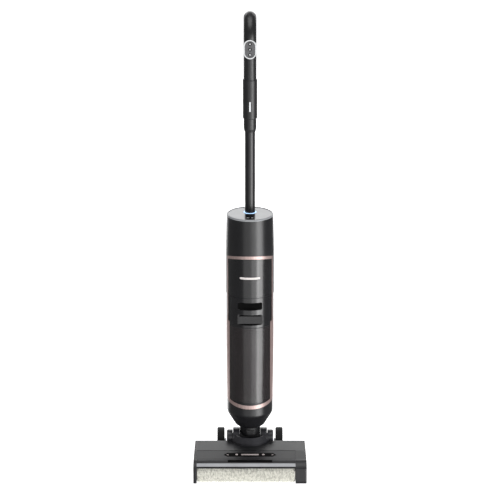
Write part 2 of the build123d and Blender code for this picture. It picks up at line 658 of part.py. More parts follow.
# ---------------------------------------------------------------- body
def base_cone():
    """Lower cone of the body, with the bore that turns on the neck's spigot."""
    top = TANK_Z - 4.0
    shell = body_form(0, BODY_Z, top) - body_form(WALL, BODY_Z + 5.0, top + EXTRA)
    return shell - post(SPIGOT_RADIUS + RUN_FIT, BODY_Z - EXTRA, BODY_Z + 6.0, 0, BODY_Y)


def body_frame():
    """Spine of the body: floor, two side beams and the web between the tanks."""
    skin = 0.9
    floor = body_form(skin, TANK_Z - 4.0, TANK_Z)
    tall = body_form(skin, TANK_Z, SEAM_Z)
    hollow = body_form(skin + WALL, TANK_Z, SEAM_Z + EXTRA)
    beams = tall - body_slice(POCKET_HALF_WIDTH, -80, 80, TANK_Z, SEAM_Z)
    voids = hollow - body_slice(POCKET_HALF_WIDTH + WALL, -80, 80, TANK_Z, SEAM_Z + EXTRA)
    web = body_slice(POCKET_HALF_WIDTH + EXTRA, WEB_FRONT, WEB_FRONT + WEB_THICKNESS, TANK_Z, SEAM_Z)
    frame = floor + (beams - voids) + web
    return frame - post(INLET_RADIUS - 2.0, TANK_Z - 5.0, TANK_Z + EXTRA, 0, BODY_Y - INLET_OFFSET)


def suction_pipe():
    """Pipe from the neck's spigot up to the dirty tank."""
    low = BODY_Z + 10.0
    high = TANK_Z - 4.0
    path = FilletPolyline(
        (0, BODY_Y, low),
        (0, BODY_Y, low + 15.0),
        (0, BODY_Y - INLET_OFFSET, high - 15.0),
        (0, BODY_Y - INLET_OFFSET, high),
        radius=14.0,
    )
    start = Plane((0, BODY_Y, low), z_dir=(0, 0, 1))
    outer = sweep(start * Circle(INLET_RADIUS), path=path)
    return outer - sweep(start * Circle(INLET_RADIUS - 2.0), path=path)


def water_pump():
    """Clean-water pump in the cone."""
    z0 = BODY_Z + 28.0
    can = post(11.0, z0, TANK_Z - 8.0, 0, BODY_Y + 29.0)
    return can + post(3.0, z0 - 6.0, z0, 0, BODY_Y + 29.0)


def dirty_tank_shell():
    """Clear tank in the front pocket, open at the top."""
    z0 = TANK_Z + TANK_FIT
    half = POCKET_HALF_WIDTH - TANK_FIT
    back = WEB_FRONT - TANK_FIT
    outer = body_form(0, z0, LID_Z) & body_slice(half, -80, back, z0, LID_Z)
    inner = body_form(TANK_WALL, z0 + TANK_WALL, LID_Z + EXTRA)
    inner = inner & body_slice(half - TANK_WALL, -80, back - TANK_WALL, z0 + TANK_WALL, LID_Z + EXTRA)
    hole = post(INLET_RADIUS, z0 - EXTRA, z0 + 2 * TANK_WALL, 0, BODY_Y - INLET_OFFSET)
    return outer - inner - hole


def inlet_pipe():
    """Pipe that carries dirty water up inside the tank, with a hood on top."""
    y = BODY_Y - INLET_OFFSET
    low = TANK_Z + TANK_FIT
    top = LID_Z - INLET_TOP_DROP
    pipe = tube(INLET_RADIUS, INLET_RADIUS - 2.0, low, top, 0, y)
    seat = top - FLOAT_TRAVEL_ROOM
    stop = tube(INLET_RADIUS + 4.0, INLET_RADIUS - EXTRA, seat - 3.0, seat, 0, y)
    hood = tube(INLET_RADIUS + 1.0, INLET_RADIUS - 2.0, top, top + 14.0, 0, y)
    hood = hood + post(INLET_RADIUS + 1.0, top + 12.0, top + 14.0, 0, y)
    window = slab(-30, 30, y - 30, y, top + 2.0, top + 12.0)
    return pipe + stop + (hood - window)


def tank_float():
    """Float ring that rides up the inlet pipe."""
    z0 = LID_Z - INLET_TOP_DROP - FLOAT_TRAVEL_ROOM
    return tube(INLET_RADIUS + 7.0, INLET_RADIUS + 1.5, z0, z0 + FLOAT_HEIGHT, 0, BODY_Y - INLET_OFFSET)


def tank_lid():
    """Dark upper part of the dirty tank, with two finger recesses."""
    z0 = LID_Z
    z1 = SEAM_Z - TANK_FIT
    half = POCKET_HALF_WIDTH - TANK_FIT
    back = WEB_FRONT - TANK_FIT
    outer = body_form(0, z0, z1) & body_slice(half, -80, back, z0, z1)
    inner = body_form(TANK_WALL, z0 - EXTRA, z1 - WALL)
    inner = inner & body_slice(half - TANK_WALL, -80, back - TANK_WALL, z0 - EXTRA, z1 - WALL)
    backing = slab(
        -RECESS_HALF_WIDTH - TANK_WALL,
        RECESS_HALF_WIDTH + TANK_WALL,
        BODY_Y - BODY_RADIUS,
        BODY_Y - BODY_RADIUS + RECESS_LOW_DEPTH + TANK_WALL,
        RECESS_LOW_Z - RECESS_LOW_HEIGHT / 2 - TANK_WALL,
        RECESS_HIGH_Z + RECESS_HIGH_HEIGHT / 2 + TANK_WALL,
    )
    lid = outer - (inner - backing)
    lid = lid - post(FILTER_RADIUS - 6.0, z0, z1 + EXTRA, 0, FILTER_Y)
    lid = lid - lid_recess(RECESS_LOW_Z, RECESS_LOW_HEIGHT, RECESS_LOW_DEPTH)
    return lid - lid_recess(RECESS_HIGH_Z, RECESS_HIGH_HEIGHT, RECESS_HIGH_DEPTH)


def lid_recess(middle, height, depth):
    """A rounded finger recess in the front of the lid."""
    outline = Pos(0, middle) * RectangleRounded(2 * RECESS_HALF_WIDTH, height, 4.0)
    deep = BODY_RADIUS - depth
    return front_prism(outline, BODY_Y - BODY_RADIUS - EXTRA, BODY_Y - deep)


def tank_latch():
    """Press latch in the lower recess."""
    front = BODY_Y - BODY_RADIUS + RECESS_LOW_DEPTH - 5.8
    outline = Pos(0, RECESS_LOW_Z) * RectangleRounded(2 * RECESS_HALF_WIDTH - 8.0, RECESS_LOW_HEIGHT - 8.0, 3.0)
    return front_prism(outline, front, front + 5.8 - LATCH_TRAVEL - BUTTON_GAP)


def filter_cartridge():
    """Round pleated filter under the lid's outlet."""
    z1 = SEAM_Z - TANK_FIT - WALL
    return tube(FILTER_RADIUS, 8.0, z1 - FILTER_HEIGHT, z1, 0, FILTER_Y)


def clean_tank_shell():
    """Clean-water tank in the rear pocket, with a finger recess at the back."""
    z0 = TANK_Z + TANK_FIT
    z1 = SEAM_Z - TANK_FIT
    half = POCKET_HALF_WIDTH - TANK_FIT
    front = WEB_FRONT + WEB_THICKNESS + TANK_FIT
    outer = body_form(0, z0, z1) & body_slice(half, front, 80, z0, z1)

    cavity = body_form(TANK_WALL, z0 + TANK_WALL, z1 - 20.0)
    cavity = cavity & body_slice(half - TANK_WALL, front + TANK_WALL, 80, z0 + TANK_WALL, z1 - 20.0)
    backing = slab(-27.5, 27.5, BODY_Y + BODY_RADIUS - 10.5, BODY_Y + BODY_RADIUS, z1 - 59.5, z1 - 20.0)
    shell = outer - (cavity - backing)
    pocket_z = z1 - CLEAN_CAP_POCKET
    pocket = body_form(TANK_WALL, pocket_z, z1 + EXTRA)
    shell = shell - (pocket & body_slice(half - TANK_WALL, front + TANK_WALL, 80, pocket_z, z1 + EXTRA))
    outline = Pos(0, z1 - 45.0) * RectangleRounded(50.0, 24.0, 6.0)
    grip = front_prism(outline, BODY_Y + BODY_RADIUS - 8.0, BODY_Y + BODY_RADIUS + EXTRA)
    shell = shell - grip
    shell = shell - post(12.0, z1 - 25.0, z1, 0, BODY_Y + CLEAN_CAP_OFFSET)
    return shell - post(CLEAN_OUTLET_RADIUS, z0 - EXTRA, z0 + 5.0, 0, BODY_Y + CLEAN_OUTLET_OFFSET)


def clean_tank_cap():
    """Filler cap of the clean tank."""
    z = SEAM_Z - TANK_FIT - CLEAN_CAP_POCKET
    y = BODY_Y + CLEAN_CAP_OFFSET
    cap = post(15.0, z, z + 8.0, 0, y) + post(12.0, z - 5.0, z, 0, y)
    for turn in range(12):
        angle = radians(30 * turn)
        cap = cap - post(1.4, z + 2.0, z + 9.0, 15.6 * cos(angle), y + 15.6 * sin(angle))
    return cap


def motor_housing():
    """Upper housing of the body, recessed at the front for its glossy panel."""
    z0 = SEAM_Z
    shell = body_form(0, z0, TOP_LAYER_Z) - body_form(WALL + 1.5, z0 + 3.0, TOP_LAYER_Z + EXTRA)
    panel = body_form(-EXTRA, PANEL_LOW, PANEL_HIGH) - body_form(PANEL_THICKNESS, PANEL_LOW, PANEL_HIGH)
    shell = shell - (panel & body_slice(PANEL_HALF_WIDTH + 0.2, -80, 0, PANEL_LOW, PANEL_HIGH))
    shell = shell - post(FILTER_RADIUS - 6.0, z0 - EXTRA, z0 + 4.0, 0, FILTER_Y)
    wide = EXHAUST_HALF_WIDTH
    vent = slab(-wide, wide, BODY_Y, BODY_Y + 80, EXHAUST_Z, EXHAUST_Z + EXHAUST_HEIGHT)
    shell = shell - vent
    button = Pos(0, RELEASE_Z) * RectangleRounded(18.0, 12.0, 3.0)
    return shell - front_prism(button, BODY_Y + 40.0, BODY_Y + 80.0)


def front_panel():
    """Glossy fixed panel above the dirty tank."""
    low = PANEL_LOW + 0.2
    high = PANEL_HIGH - 0.2
    skin = body_form(0, low, high) - body_form(PANEL_THICKNESS, low - EXTRA, high + EXTRA)
    return skin & body_slice(PANEL_HALF_WIDTH, -80, 0, low, high)


def exhaust_grille():
    """Slotted grille at the back of the upper housing."""
    z0 = EXHAUST_Z + 0.2
    z1 = EXHAUST_Z + EXHAUST_HEIGHT - 0.2
    outer = BODY_RADIUS - 0.4
    wide = EXHAUST_HALF_WIDTH - 0.2
    plate = tube(outer, outer - WALL, z0, z1, 0, BODY_Y) & slab(-wide, wide, BODY_Y, BODY_Y + 80, z0, z1)
    slots = []
    for row in range(EXHAUST_SLOTS):
        z = z0 + 5.0 + EXHAUST_PITCH * row
        slots.append(slab(-wide + 5.0, wide - 5.0, BODY_Y, BODY_Y + 80, z - 1.4, z + 1.4))
    return plate - slots


def trim_frame():
    """Rose trim round the front: top bar, side rails, wide side bands and bottom bar."""
    proud = 0.25
    low = BODY_Z + 55.0
    high = SEAM_Z + 112.0
    skin = body_form(-proud, low, high) - body_form(0, low - EXTRA, high + EXTRA)
    rails = rail_cutter(RAIL_X0, RAIL_X1, BAND_TOP - 40.0, BAR_TOP - 6.0)
    rails = rails + bar_cutter(BAR_TOP, 7.5, -0.26, RAIL_X1)
    rails = rails + bar_cutter(BAR_LOW, 9.5, 0.27, RAIL_X1 + 2.0)
    trim = skin & rails
    band = body_form(-proud, BAND_LOW, BAND_TOP) - body_form(0.9, BAND_LOW - EXTRA, BAND_TOP + EXTRA)
    band = band & (rail_cutter(POCKET_HALF_WIDTH + 0.1, BAND_X1, BAND_LOW, BAND_TOP))
    return trim, band


def rail_cutter(x0, x1, z0, z1):
    """Upright cutters for the rails, left and right."""
    right = slab(x0, x1, BODY_Y - 80, BODY_Y - 2.0, z0, z1)
    return right + mirrored(right)


def bar_cutter(middle, height, slope, half_width):
    """A sloping slab that cuts one bar out of the skin."""
    front = BODY_Y - BODY_RADIUS
    y0 = front - 5.0
    y1 = BODY_Y - 2.0
    outline = make_face(
        Polyline(
            (y0, middle - height / 2 + slope * (y0 - front)),
            (y1, middle - height / 2 + slope * (y1 - front)),
            (y1, middle + height / 2 + slope * (y1 - front)),
            (y0, middle + height / 2 + slope * (y0 - front)),
            close=True,
        )
    )
    return side_prism(outline, -half_width, half_width)


def suction_motor():
    """Suction motor in the upper housing."""
    z0 = SEAM_Z + 12.0
    can = post(32.0, z0, z0 + 58.0, 0, BODY_Y)
    can = can + post(36.0, z0 + 20.0, z0 + 26.0, 0, BODY_Y)
    return can - post(3.0 + RUN_FIT, z0 + 30.0, z0 + 60.0, 0, BODY_Y)


def suction_fan():
    """Fan on the motor's shaft."""
    z0 = SEAM_Z + 12.0 + 58.0
    fan = post(3.0, z0 - 26.0, z0 + 12.0, 0, BODY_Y) + post(28.0, z0 + 1.0, z0 + 3.0, 0, BODY_Y)
    hub = post(8.0, z0 + 1.0, z0 + 12.0, 0, BODY_Y)
    fan = fan + hub
    for blade in range(FAN_BLADES):
        turn = Rot(0, 0, 360 / FAN_BLADES * blade)
        vane = Pos(0, BODY_Y, z0 + 7.0) * turn * (Pos(17, 0, 0) * Box(21, 1.6, 9))
        fan = fan + vane
    return fan


def battery_pack():
    """Battery in the upper housing, over the fan."""
    z0 = SEAM_Z + 90.0
    pack = slab(-38, 38, BODY_Y - 34, BODY_Y + 26, z0, z0 + 52.0)
    return fillet(pack.edges().filter_by(Axis.Z), 4.0)


def control_board():
    """Circuit board under the display."""
    return slab(-24, 24, BODY_Y - 46, BODY_Y - 14, BODY_TOP - 14.0, BODY_TOP - 12.4)


def display_disc():
    """Light top plate of the body with a hole for the handle."""
    disc = body_form(0, TOP_LAYER_Z, BODY_TOP)
    disc = disc - post(WAND_RADIUS + 3.3, TOP_LAYER_Z - EXTRA, BODY_TOP + EXTRA, 0, WAND_Y)
    inner = post(BODY_RADIUS - 6.5, BODY_TOP - 0.8, BODY_TOP + EXTRA, 0, BODY_Y)
    strip = slab(-WAND_RADIUS, WAND_RADIUS, BODY_Y - BODY_RADIUS + 6.5, WAND_Y - WAND_RADIUS,
                 BODY_TOP - 2.4, BODY_TOP + EXTRA)
    return disc - inner - strip


def display_window():
    """Dark display strip from the handle to the front rim."""
    return slab(-WAND_RADIUS, WAND_RADIUS, BODY_Y - BODY_RADIUS + 6.7, WAND_Y - WAND_RADIUS - 4.0,
                BODY_TOP - 2.4, BODY_TOP - 0.4)


def wand_socket():
    """Socket that holds the foot of the handle."""
    z0 = BODY_TOP - WAND_ENGAGEMENT - 4.0
    socket = tube(WAND_RADIUS + 3.3, WAND_RADIUS + RUN_FIT, z0, TOP_LAYER_Z, 0, WAND_Y)
    return socket + post(WAND_RADIUS + 3.3, z0, z0 + 3.0, 0, WAND_Y)


def handle_release():
    """Press button at the back that frees the handle."""
    outline = Pos(0, RELEASE_Z) * RectangleRounded(17.2, 11.2, 2.6)
    button = front_prism(outline, WAND_Y + WAND_RADIUS + 8.0, BODY_Y + 80.0)
    return button & body_form(-0.5, BODY_TOP - 60.0, BODY_TOP)


# ---------------------------------------------------------------- handle
def wand_tube():
    """Straight tube of the handle."""
    z0 = BODY_TOP - WAND_ENGAGEMENT
    return tube(WAND_RADIUS, WAND_RADIUS - 1.5, z0, SLEEVE_Z + 20.0, 0, WAND_Y)


def wand_collar():
    """Collar at the top of the tube, tapered below."""
    z0 = TUBE_TOP - 7.0
    outline = make_face(
        Polyline(
            (WAND_RADIUS, z0),
            (WAND_RADIUS + 0.8, z0),
            (COLLAR_RADIUS, z0 + 7.0),
            (COLLAR_RADIUS, SLEEVE_Z),
            (WAND_RADIUS, SLEEVE_Z),
            close=True,
        )
    )
    return Pos(0, WAND_Y, 0) * revolve(Plane.XZ * outline, Axis.Z)


def grip_sleeve():
    """Thicker sleeve between the collar and the grip."""
    sleeve = post(SLEEVE_RADIUS, SLEEVE_Z, GRIP_Z, 0, WAND_Y)
    sleeve = fillet(sleeve.edges().filter_by(GeomType.CIRCLE), 1.8)
    sleeve = sleeve - post(WAND_RADIUS, SLEEVE_Z - EXTRA, SLEEVE_Z + 20.0, 0, WAND_Y)
    return sleeve - post(GRIP_RADIUS - GRIP_WALL, SLEEVE_Z + 20.0, GRIP_Z + EXTRA, 0, WAND_Y)


def grip_centre_line():
    """The grip's centre line: straight up, then bent to the rear."""
    bend_end = Vector(0, WAND_Y + GRIP_BEND_RADIUS, BEND_Z + GRIP_BEND_RADIUS)
    straight = Line((0, WAND_Y, GRIP_Z), (0, WAND_Y, BEND_Z))
    bend = TangentArc((0, WAND_Y, BEND_Z), bend_end, tangent=(0, 0, 1))
    return straight + bend, bend_end


def grip_half(side):
    """One half shell of the grip, left or right of the middle plane."""
    line, _ = grip_centre_line()
    start = Plane((0, WAND_Y, GRIP_Z), z_dir=(0, 0, 1))
    reach = 2 * GRIP_RADIUS
    keep = Pos(side * reach / 2, 0) * Rectangle(reach, 2 * reach)
    half_ring = (Circle(GRIP_RADIUS) - Circle(GRIP_RADIUS - GRIP_WALL)) & keep
    shell = sweep(start * half_ring, path=line)
    return shell - pad_prism(PAD_WIDTH, PAD_HEIGHT, GRIP_RADIUS + 3.0, 6.0)


def grip_end_cap():
    """Domed plug in the rear end of the grip."""
    _, end = grip_centre_line()
    outline = make_face(Line((0, 0), (GRIP_RADIUS, 0)) + RadiusArc((GRIP_RADIUS, 0), (0, GRIP_RADIUS), -GRIP_RADIUS)
                        + Line((0, GRIP_RADIUS), (0, 0)))
    dome = revolve(Plane.XZ * outline, Axis.Z)
    return Pos(*end) * Rot(-90, 0, 0) * dome


def pad_prism(width, height, front, back):
    """An upright stadium standing out in front of the grip's centre line."""
    outline = Pos(0, PAD_Z) * Rot(0, 0, 90) * SlotOverall(height, width)
    return front_prism(outline, WAND_Y - front, WAND_Y - back)


def control_bezel():
    """Bright ring round the control pad."""
    ring = pad_prism(PAD_WIDTH, PAD_HEIGHT, GRIP_RADIUS + 1.6, 6.0)
    return ring - pad_prism(PAD_WIDTH - 5.0, PAD_HEIGHT - 5.0, GRIP_RADIUS + 3.0, 5.0)


def control_pad():
    """Dark pad with three button holes."""
    pad = pad_prism(PAD_WIDTH - 5.0, PAD_HEIGHT - 5.0, GRIP_RADIUS + 0.8, 8.0)
    for place in BUTTON_PLACES:
        pad = pad - y_rod(BUTTON_RADIUS + BUTTON_GAP, WAND_Y - GRIP_RADIUS - 3.0, WAND_Y, 0, PAD_Z + place)
    return pad


def pad_button(place):
    """One round button of the pad."""
    front = WAND_Y - GRIP_RADIUS - 1.3
    return y_rod(BUTTON_RADIUS, front, front + 5.0, 0, PAD_Z + place)


# ---------------------------------------------------------------- fasteners
def screw_up(x, y, z, radius=2.2, length=9.0):
    """Screw driven upwards, its head sunk flush into the underside."""
    return post(radius + 1.4, z, z + 1.0, x, y) + post(radius, z + 0.8, z + length, x, y)


def head_screws():
    """Screws under the head."""
    places = []
    for x in (-ARM_X, ARM_X):
        places.append(screw_up(x, HEAD_REAR_Y - 12.0, BASE_FLOOR_Z, 1.8, 2.0))
    for x in (LEFT_X + 40.0, PLATE_RIGHT - 20.0):
        places.append(screw_up(x, CREASE_Y + 18.0, BASE_FLOOR_Z, 1.8, 2.0))
    return Compound(children=places)


# ---------------------------------------------------------------- the whole machine
def build():
    """Make each piece and write it."""
    os.makedirs("parts", exist_ok=True)
    base = head_base(drive_side_plate())
    screws = head_screws()
    for solid in screws.solids():
        base = base - solid
    trim, bands = trim_frame()
    cap = pivot_cap()
    pieces = {
        "head_base": base,
        "head_deck": head_deck(),
        "left_side_cap": left_side_cap() + roller_pin(),
        "drive_cap": drive_cap(),
        "brush_cover": brush_cover(),
        "cover_window": cover_window(),
        "cover_lip": cover_lip(),
        "cover_badge": cover_badge() + badge_marks(),
        "roller_scraper": roller_scraper(),
        "floor_squeegee": floor_squeegee(),
        "roller_core": roller_core() + roller_pulley(),
        "roller_pile": roller_pile(),
        "roller_bearing": roller_bearing(),
        "drive_motor": drive_motor(),
        "drive_pulley": drive_pulley(),
        "drive_belt": drive_belt(),
        "hinge_saddle": hinge_saddle() + cap + mirrored(cap),
        "tyre_left": tyre(-1),
        "tyre_right": tyre(1),
        "wheel_hub_left": wheel_hub(-1),
        "wheel_hub_right": wheel_hub(1),
        "wheel_axles": Compound(children=[wheel_axle(-1), wheel_axle(1)]),
        "neck_housing": neck_housing() + neck_key(),
        "recline_pins": recline_pins(),
        "swivel_ring": swivel_ring(),
        "base_cone": base_cone(),
        "body_frame": body_frame(),
        "suction_pipe": suction_pipe(),
        "water_pump": water_pump(),
        "dirty_tank_shell": dirty_tank_shell(),
        "inlet_pipe": inlet_pipe(),
        "tank_float": tank_float(),
        "tank_lid": tank_lid(),
        "tank_latch": tank_latch(),
        "filter_cartridge": filter_cartridge(),
        "clean_tank_shell": clean_tank_shell(),
        "clean_tank_cap": clean_tank_cap(),
        "motor_housing": motor_housing(),
        "front_panel": front_panel(),
        "exhaust_grille": exhaust_grille(),
        "trim_frame": trim + bands,
        "suction_motor": suction_motor(),
        "suction_fan": suction_fan(),
        "battery_pack": battery_pack(),
        "control_board": control_board(),
        "display_disc": display_disc(),
        "display_window": display_window(),
        "wand_socket": wand_socket(),
        "handle_release": handle_release(),
        "wand_tube": wand_tube(),
        "grip_sleeve": grip_sleeve() + wand_collar(),
        "grip_left_shell": grip_half(-1),
        "grip_right_shell": grip_half(1),
        "grip_end_cap": grip_end_cap(),
        "control_bezel": control_bezel(),
        "control_pad": control_pad(),
        "head_screws": screws,
    }
    for name, place in zip(BUTTON_NAMES, BUTTON_PLACES):
        pieces[name] = pad_button(place)
    for name, shape in pieces.items():
        write(name, shape)


build()
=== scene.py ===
"""Looks of the cordless wet dry floor scrubber: studio, finishes and the fine pieces."""

import json
import math
import random

import bmesh
import bpy
from mathutils import Matrix, Vector


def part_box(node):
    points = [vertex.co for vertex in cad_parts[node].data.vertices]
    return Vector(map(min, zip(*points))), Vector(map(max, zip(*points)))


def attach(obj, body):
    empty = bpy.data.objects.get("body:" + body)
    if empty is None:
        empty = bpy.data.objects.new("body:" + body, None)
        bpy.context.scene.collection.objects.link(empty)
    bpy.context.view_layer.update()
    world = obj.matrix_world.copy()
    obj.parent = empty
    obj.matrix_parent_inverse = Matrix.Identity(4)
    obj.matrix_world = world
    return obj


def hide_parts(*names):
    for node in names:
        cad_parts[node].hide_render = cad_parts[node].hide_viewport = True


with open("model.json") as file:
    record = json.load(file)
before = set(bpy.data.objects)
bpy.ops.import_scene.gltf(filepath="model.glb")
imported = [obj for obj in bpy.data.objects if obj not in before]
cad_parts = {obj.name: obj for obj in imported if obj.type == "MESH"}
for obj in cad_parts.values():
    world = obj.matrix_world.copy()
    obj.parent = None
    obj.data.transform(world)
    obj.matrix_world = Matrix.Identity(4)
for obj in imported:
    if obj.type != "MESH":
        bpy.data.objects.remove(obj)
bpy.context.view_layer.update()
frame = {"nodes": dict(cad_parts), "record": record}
NODES = frame["nodes"]
MM = 0.001


# ---------------------------------------------------------------- places read from the frame
def low(node):
    """Lowest corner of a CAD node."""
    return Vector(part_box(node)[0])


def high(node):
    """Highest corner of a CAD node."""
    return Vector(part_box(node)[1])


def centre(node):
    """Middle of a CAD node."""
    return (low(node) + high(node)) / 2


BODY_Y = centre("swivel_ring").y
BODY_R = (high("motor_housing").x - low("motor_housing").x) / 2
WAND_Y = centre("wand_tube").y
BODY_TOP = high("display_disc").z
ROLLER = centre("roller_pile")
ROLLER_R = (high("roller_pile").z - low("roller_pile").z) / 2
ROLLER_X0 = low("roller_pile").x
ROLLER_X1 = high("roller_pile").x

# ---------------------------------------------------------------- sizes that several pieces share
COVER_TILT = math.radians(7.125)   # slope of the cover's top
PRINT = 0.2 * MM                   # thickness of a printed mark or a lining


# ---------------------------------------------------------------- camera
CAMERA_LENS = 186.4                    # millimetres
CAMERA_PLACE = (0.0, -5.9905, 2.561)
CAMERA_DOWN = 18.345                   # degrees below level


def make_camera():
    """Long lens from the front, a little above the machine."""
    data = bpy.data.cameras.new("camera")
    data.lens = CAMERA_LENS
    data.sensor_width = 36.0
    data.clip_end = 40.0
    camera = bpy.data.objects.new("camera", data)
    camera.location = CAMERA_PLACE
    camera.rotation_euler = (math.radians(90.0 - CAMERA_DOWN), 0.0, 0.0)
    bpy.context.scene.collection.objects.link(camera)
    bpy.context.scene.camera = camera


make_camera()


# ---------------------------------------------------------------- material helpers
def paint(code, alpha=1.0):
    """An sRGB hex colour as linear RGBA."""
    channels = [int(code[i:i + 2], 16) / 255 for i in (1, 3, 5)]
    linear = [c / 12.92 if c <= 0.04045 else ((c + 0.055) / 1.055) ** 2.4 for c in channels]
    return tuple(linear) + (alpha,)


def add(tree, kind, settings=None, inputs=None, links=None):
    """Adds one node: its settings, its socket values, and links into it from (node, socket)."""
    node = tree.nodes.new(kind)
    for name, value in (settings or {}).items():
        setattr(node, name, value)
    for name, value in (inputs or {}).items():
        node.inputs[name].default_value = value
    for name, (source, socket) in (links or {}).items():
        tree.links.new(source.outputs[socket], node.inputs[name])
    return node


def start(name, **sockets):
    """A new material with its shader, and the object coordinates."""
    material = bpy.data.materials.new(name)
    material.use_nodes = True
    tree = material.node_tree
    shader = tree.nodes["Principled BSDF"]
    for socket, value in sockets.items():
        shader.inputs[socket.replace("_", " ")].default_value = value
    place = add(tree, "ShaderNodeTexCoord")
    return material, tree, shader, place


def grain(tree, place, size_mm, detail=2.0, stretch=(1, 1, 1)):
    """Noise whose features are size_mm across."""
    mapping = add(tree, "ShaderNodeMapping", inputs={"Scale": stretch}, links={"Vector": (place, "Object")})
    return add(tree, "ShaderNodeTexNoise", inputs={"Scale": 1000.0 / size_mm, "Detail": detail},
               links={"Vector": (mapping, "Vector")})


def colour_by(tree, shader, source, dark, light, start_at=0.3, end_at=0.7):
    """Base colour run between two hex colours by a texture."""
    ramp = add(tree, "ShaderNodeValToRGB", links={"Fac": (source, "Fac")})
    ramp.color_ramp.elements[0].position = start_at
    ramp.color_ramp.elements[0].color = paint(dark)
    ramp.color_ramp.elements[1].position = end_at
    ramp.color_ramp.elements[1].color = paint(light)
    tree.links.new(ramp.outputs["Color"], shader.inputs["Base Color"])


def roughness_by(tree, shader, source, lowest, highest):
    """Roughness run between two levels by a texture."""
    spread = add(tree, "ShaderNodeMapRange", inputs={"To Min": lowest, "To Max": highest},
                 links={"Value": (source, "Fac")})
    tree.links.new(spread.outputs["Result"], shader.inputs["Roughness"])


def bump(tree, shader, source, depth_mm):
    """Relief of a depth in millimetres."""
    node = add(tree, "ShaderNodeBump", inputs={"Strength": 1.0, "Distance": depth_mm * MM},
               links={"Height": (source, "Fac")})
    tree.links.new(node.outputs["Normal"], shader.inputs["Normal"])


# ---------------------------------------------------------------- finishes
def moulded_abs(name, dark, light, rough_low, rough_high, grain_mm=0.8, relief_mm=0.02):
    """Moulded ABS off a spark-eroded tool: fine even grain, and a slow drift in sheen where hands wipe it."""
    material, tree, shader, place = start(name, IOR=1.53)
    drift = grain(tree, place, 45.0)
    colour_by(tree, shader, drift, dark, light)
    roughness_by(tree, shader, drift, rough_low, rough_high)
    bump(tree, shader, grain(tree, place, grain_mm, 3.0), relief_mm)
    return material


def painted_shade_finish(name, dark, light):
    """Painted shade: near-black ABS with almost no gloss, sunk below its neighbours; it gives back almost no
    light, and reads as a shadow gap.
    """
    material, tree, shader, place = start(name, IOR=1.45, Specular_IOR_Level=0.12, Roughness=0.85)
    colour_by(tree, shader, grain(tree, place, 12.0), dark, light)
    bump(tree, shader, grain(tree, place, 0.7, 3.0), 0.02)
    return material


def polished_abs(name, dark, light, roughness):
    """Piano-black ABS: mirror gloss with the faint waviness of a moulded panel and fine wipe marks."""
    material, tree, shader, place = start(name, IOR=1.53, Coat_Weight=0.3, Coat_Roughness=0.14)
    drift = grain(tree, place, 60.0)
    colour_by(tree, shader, drift, dark, light)
    wipe = grain(tree, place, 9.0, 4.0, (1.0, 1.0, 0.15))
    roughness_by(tree, shader, wipe, roughness, roughness + 0.08)
    bump(tree, shader, grain(tree, place, 28.0, 1.0), 0.015)
    return material


def tinted_polycarbonate(name, tint, roughness, weight, relief_mm=0.01):
    """Clear moulded polycarbonate: see-through with a tint, flow lines and a few fine scuffs."""
    material, tree, shader, place = start(name, IOR=1.585, Transmission_Weight=weight)
    flow = grain(tree, place, 30.0, 2.0, (1.0, 1.0, 0.3))
    colour_by(tree, shader, flow, tint[0], tint[1])
    scuff = grain(tree, place, 3.0, 5.0)
    roughness_by(tree, shader, scuff, roughness, roughness + 0.07)
    bump(tree, shader, flow, relief_mm)
    return material


def brushed_rose():
    """Anodised rose aluminium strip, brushed along its height: soft pink metal with fine upright lines."""
    material, tree, shader, place = start("anodised_rose_aluminium", Metallic=0.8)
    lines = grain(tree, place, 0.6, 2.0, (1.0, 1.0, 0.02))
    colour_by(tree, shader, lines, "#a58f8b", "#c6b0ac")
    roughness_by(tree, shader, lines, 0.36, 0.52)
    bump(tree, shader, lines, 0.01)
    return material


def polished_aluminium():
    """Polished aluminium ring: bright, with faint turning lines."""
    material, tree, shader, place = start("polished_aluminium", Metallic=1.0)
    lines = grain(tree, place, 1.2, 2.0, (1.0, 1.0, 0.1))
    colour_by(tree, shader, lines, "#c8cacc", "#f2f3f4")
    roughness_by(tree, shader, lines, 0.14, 0.26)
    bump(tree, shader, lines, 0.008)
    return material


def machined_steel():
    """Turned steel for pins, bearings and screws: grey metal with lathe lines."""
    material, tree, shader, place = start("turned_steel", Metallic=1.0)
    lines = grain(tree, place, 0.9, 3.0, (0.1, 1.0, 1.0))
    colour_by(tree, shader, lines, "#8c8e90", "#c4c6c8")
    roughness_by(tree, shader, lines, 0.25, 0.45)
    bump(tree, shader, lines, 0.01)
    return material


def moulded_rubber(name, dark, light):
    """Moulded rubber: matt, slightly dusty, with a fine tooth."""
    material, tree, shader, place = start(name, IOR=1.5, Specular_IOR_Level=0.35)
    dust = grain(tree, place, 18.0, 4.0)
    colour_by(tree, shader, dust, dark, light, 0.35, 0.8)
    roughness_by(tree, shader, dust, 0.62, 0.8)
    bump(tree, shader, grain(tree, place, 0.7, 3.0), 0.04)
    return material


def microfibre(name, dark, light):
    """Microfibre pile in cream and grey: soft and matt, flecked by darker slanting yarns 3 mm long."""
    material, tree, shader, place = start(name, Roughness=0.95, Sheen_Weight=0.35, Sheen_Roughness=0.5,
                                          Specular_IOR_Level=0.2)
    slant = add(tree, "ShaderNodeMapping", inputs={"Rotation": (0.0, math.radians(35.0), 0.0),
                                                   "Scale": (1.0, 0.6, 0.45)},
                links={"Vector": (place, "Object")})
    yarn = add(tree, "ShaderNodeTexNoise", inputs={"Scale": 1000.0 / 3.2, "Detail": 5.0, "Roughness": 0.7},
               links={"Vector": (slant, "Vector")})
    colour_by(tree, shader, yarn, dark, light, 0.38, 0.56)
    bump(tree, shader, grain(tree, place, 1.2, 4.0), 0.5)
    return material


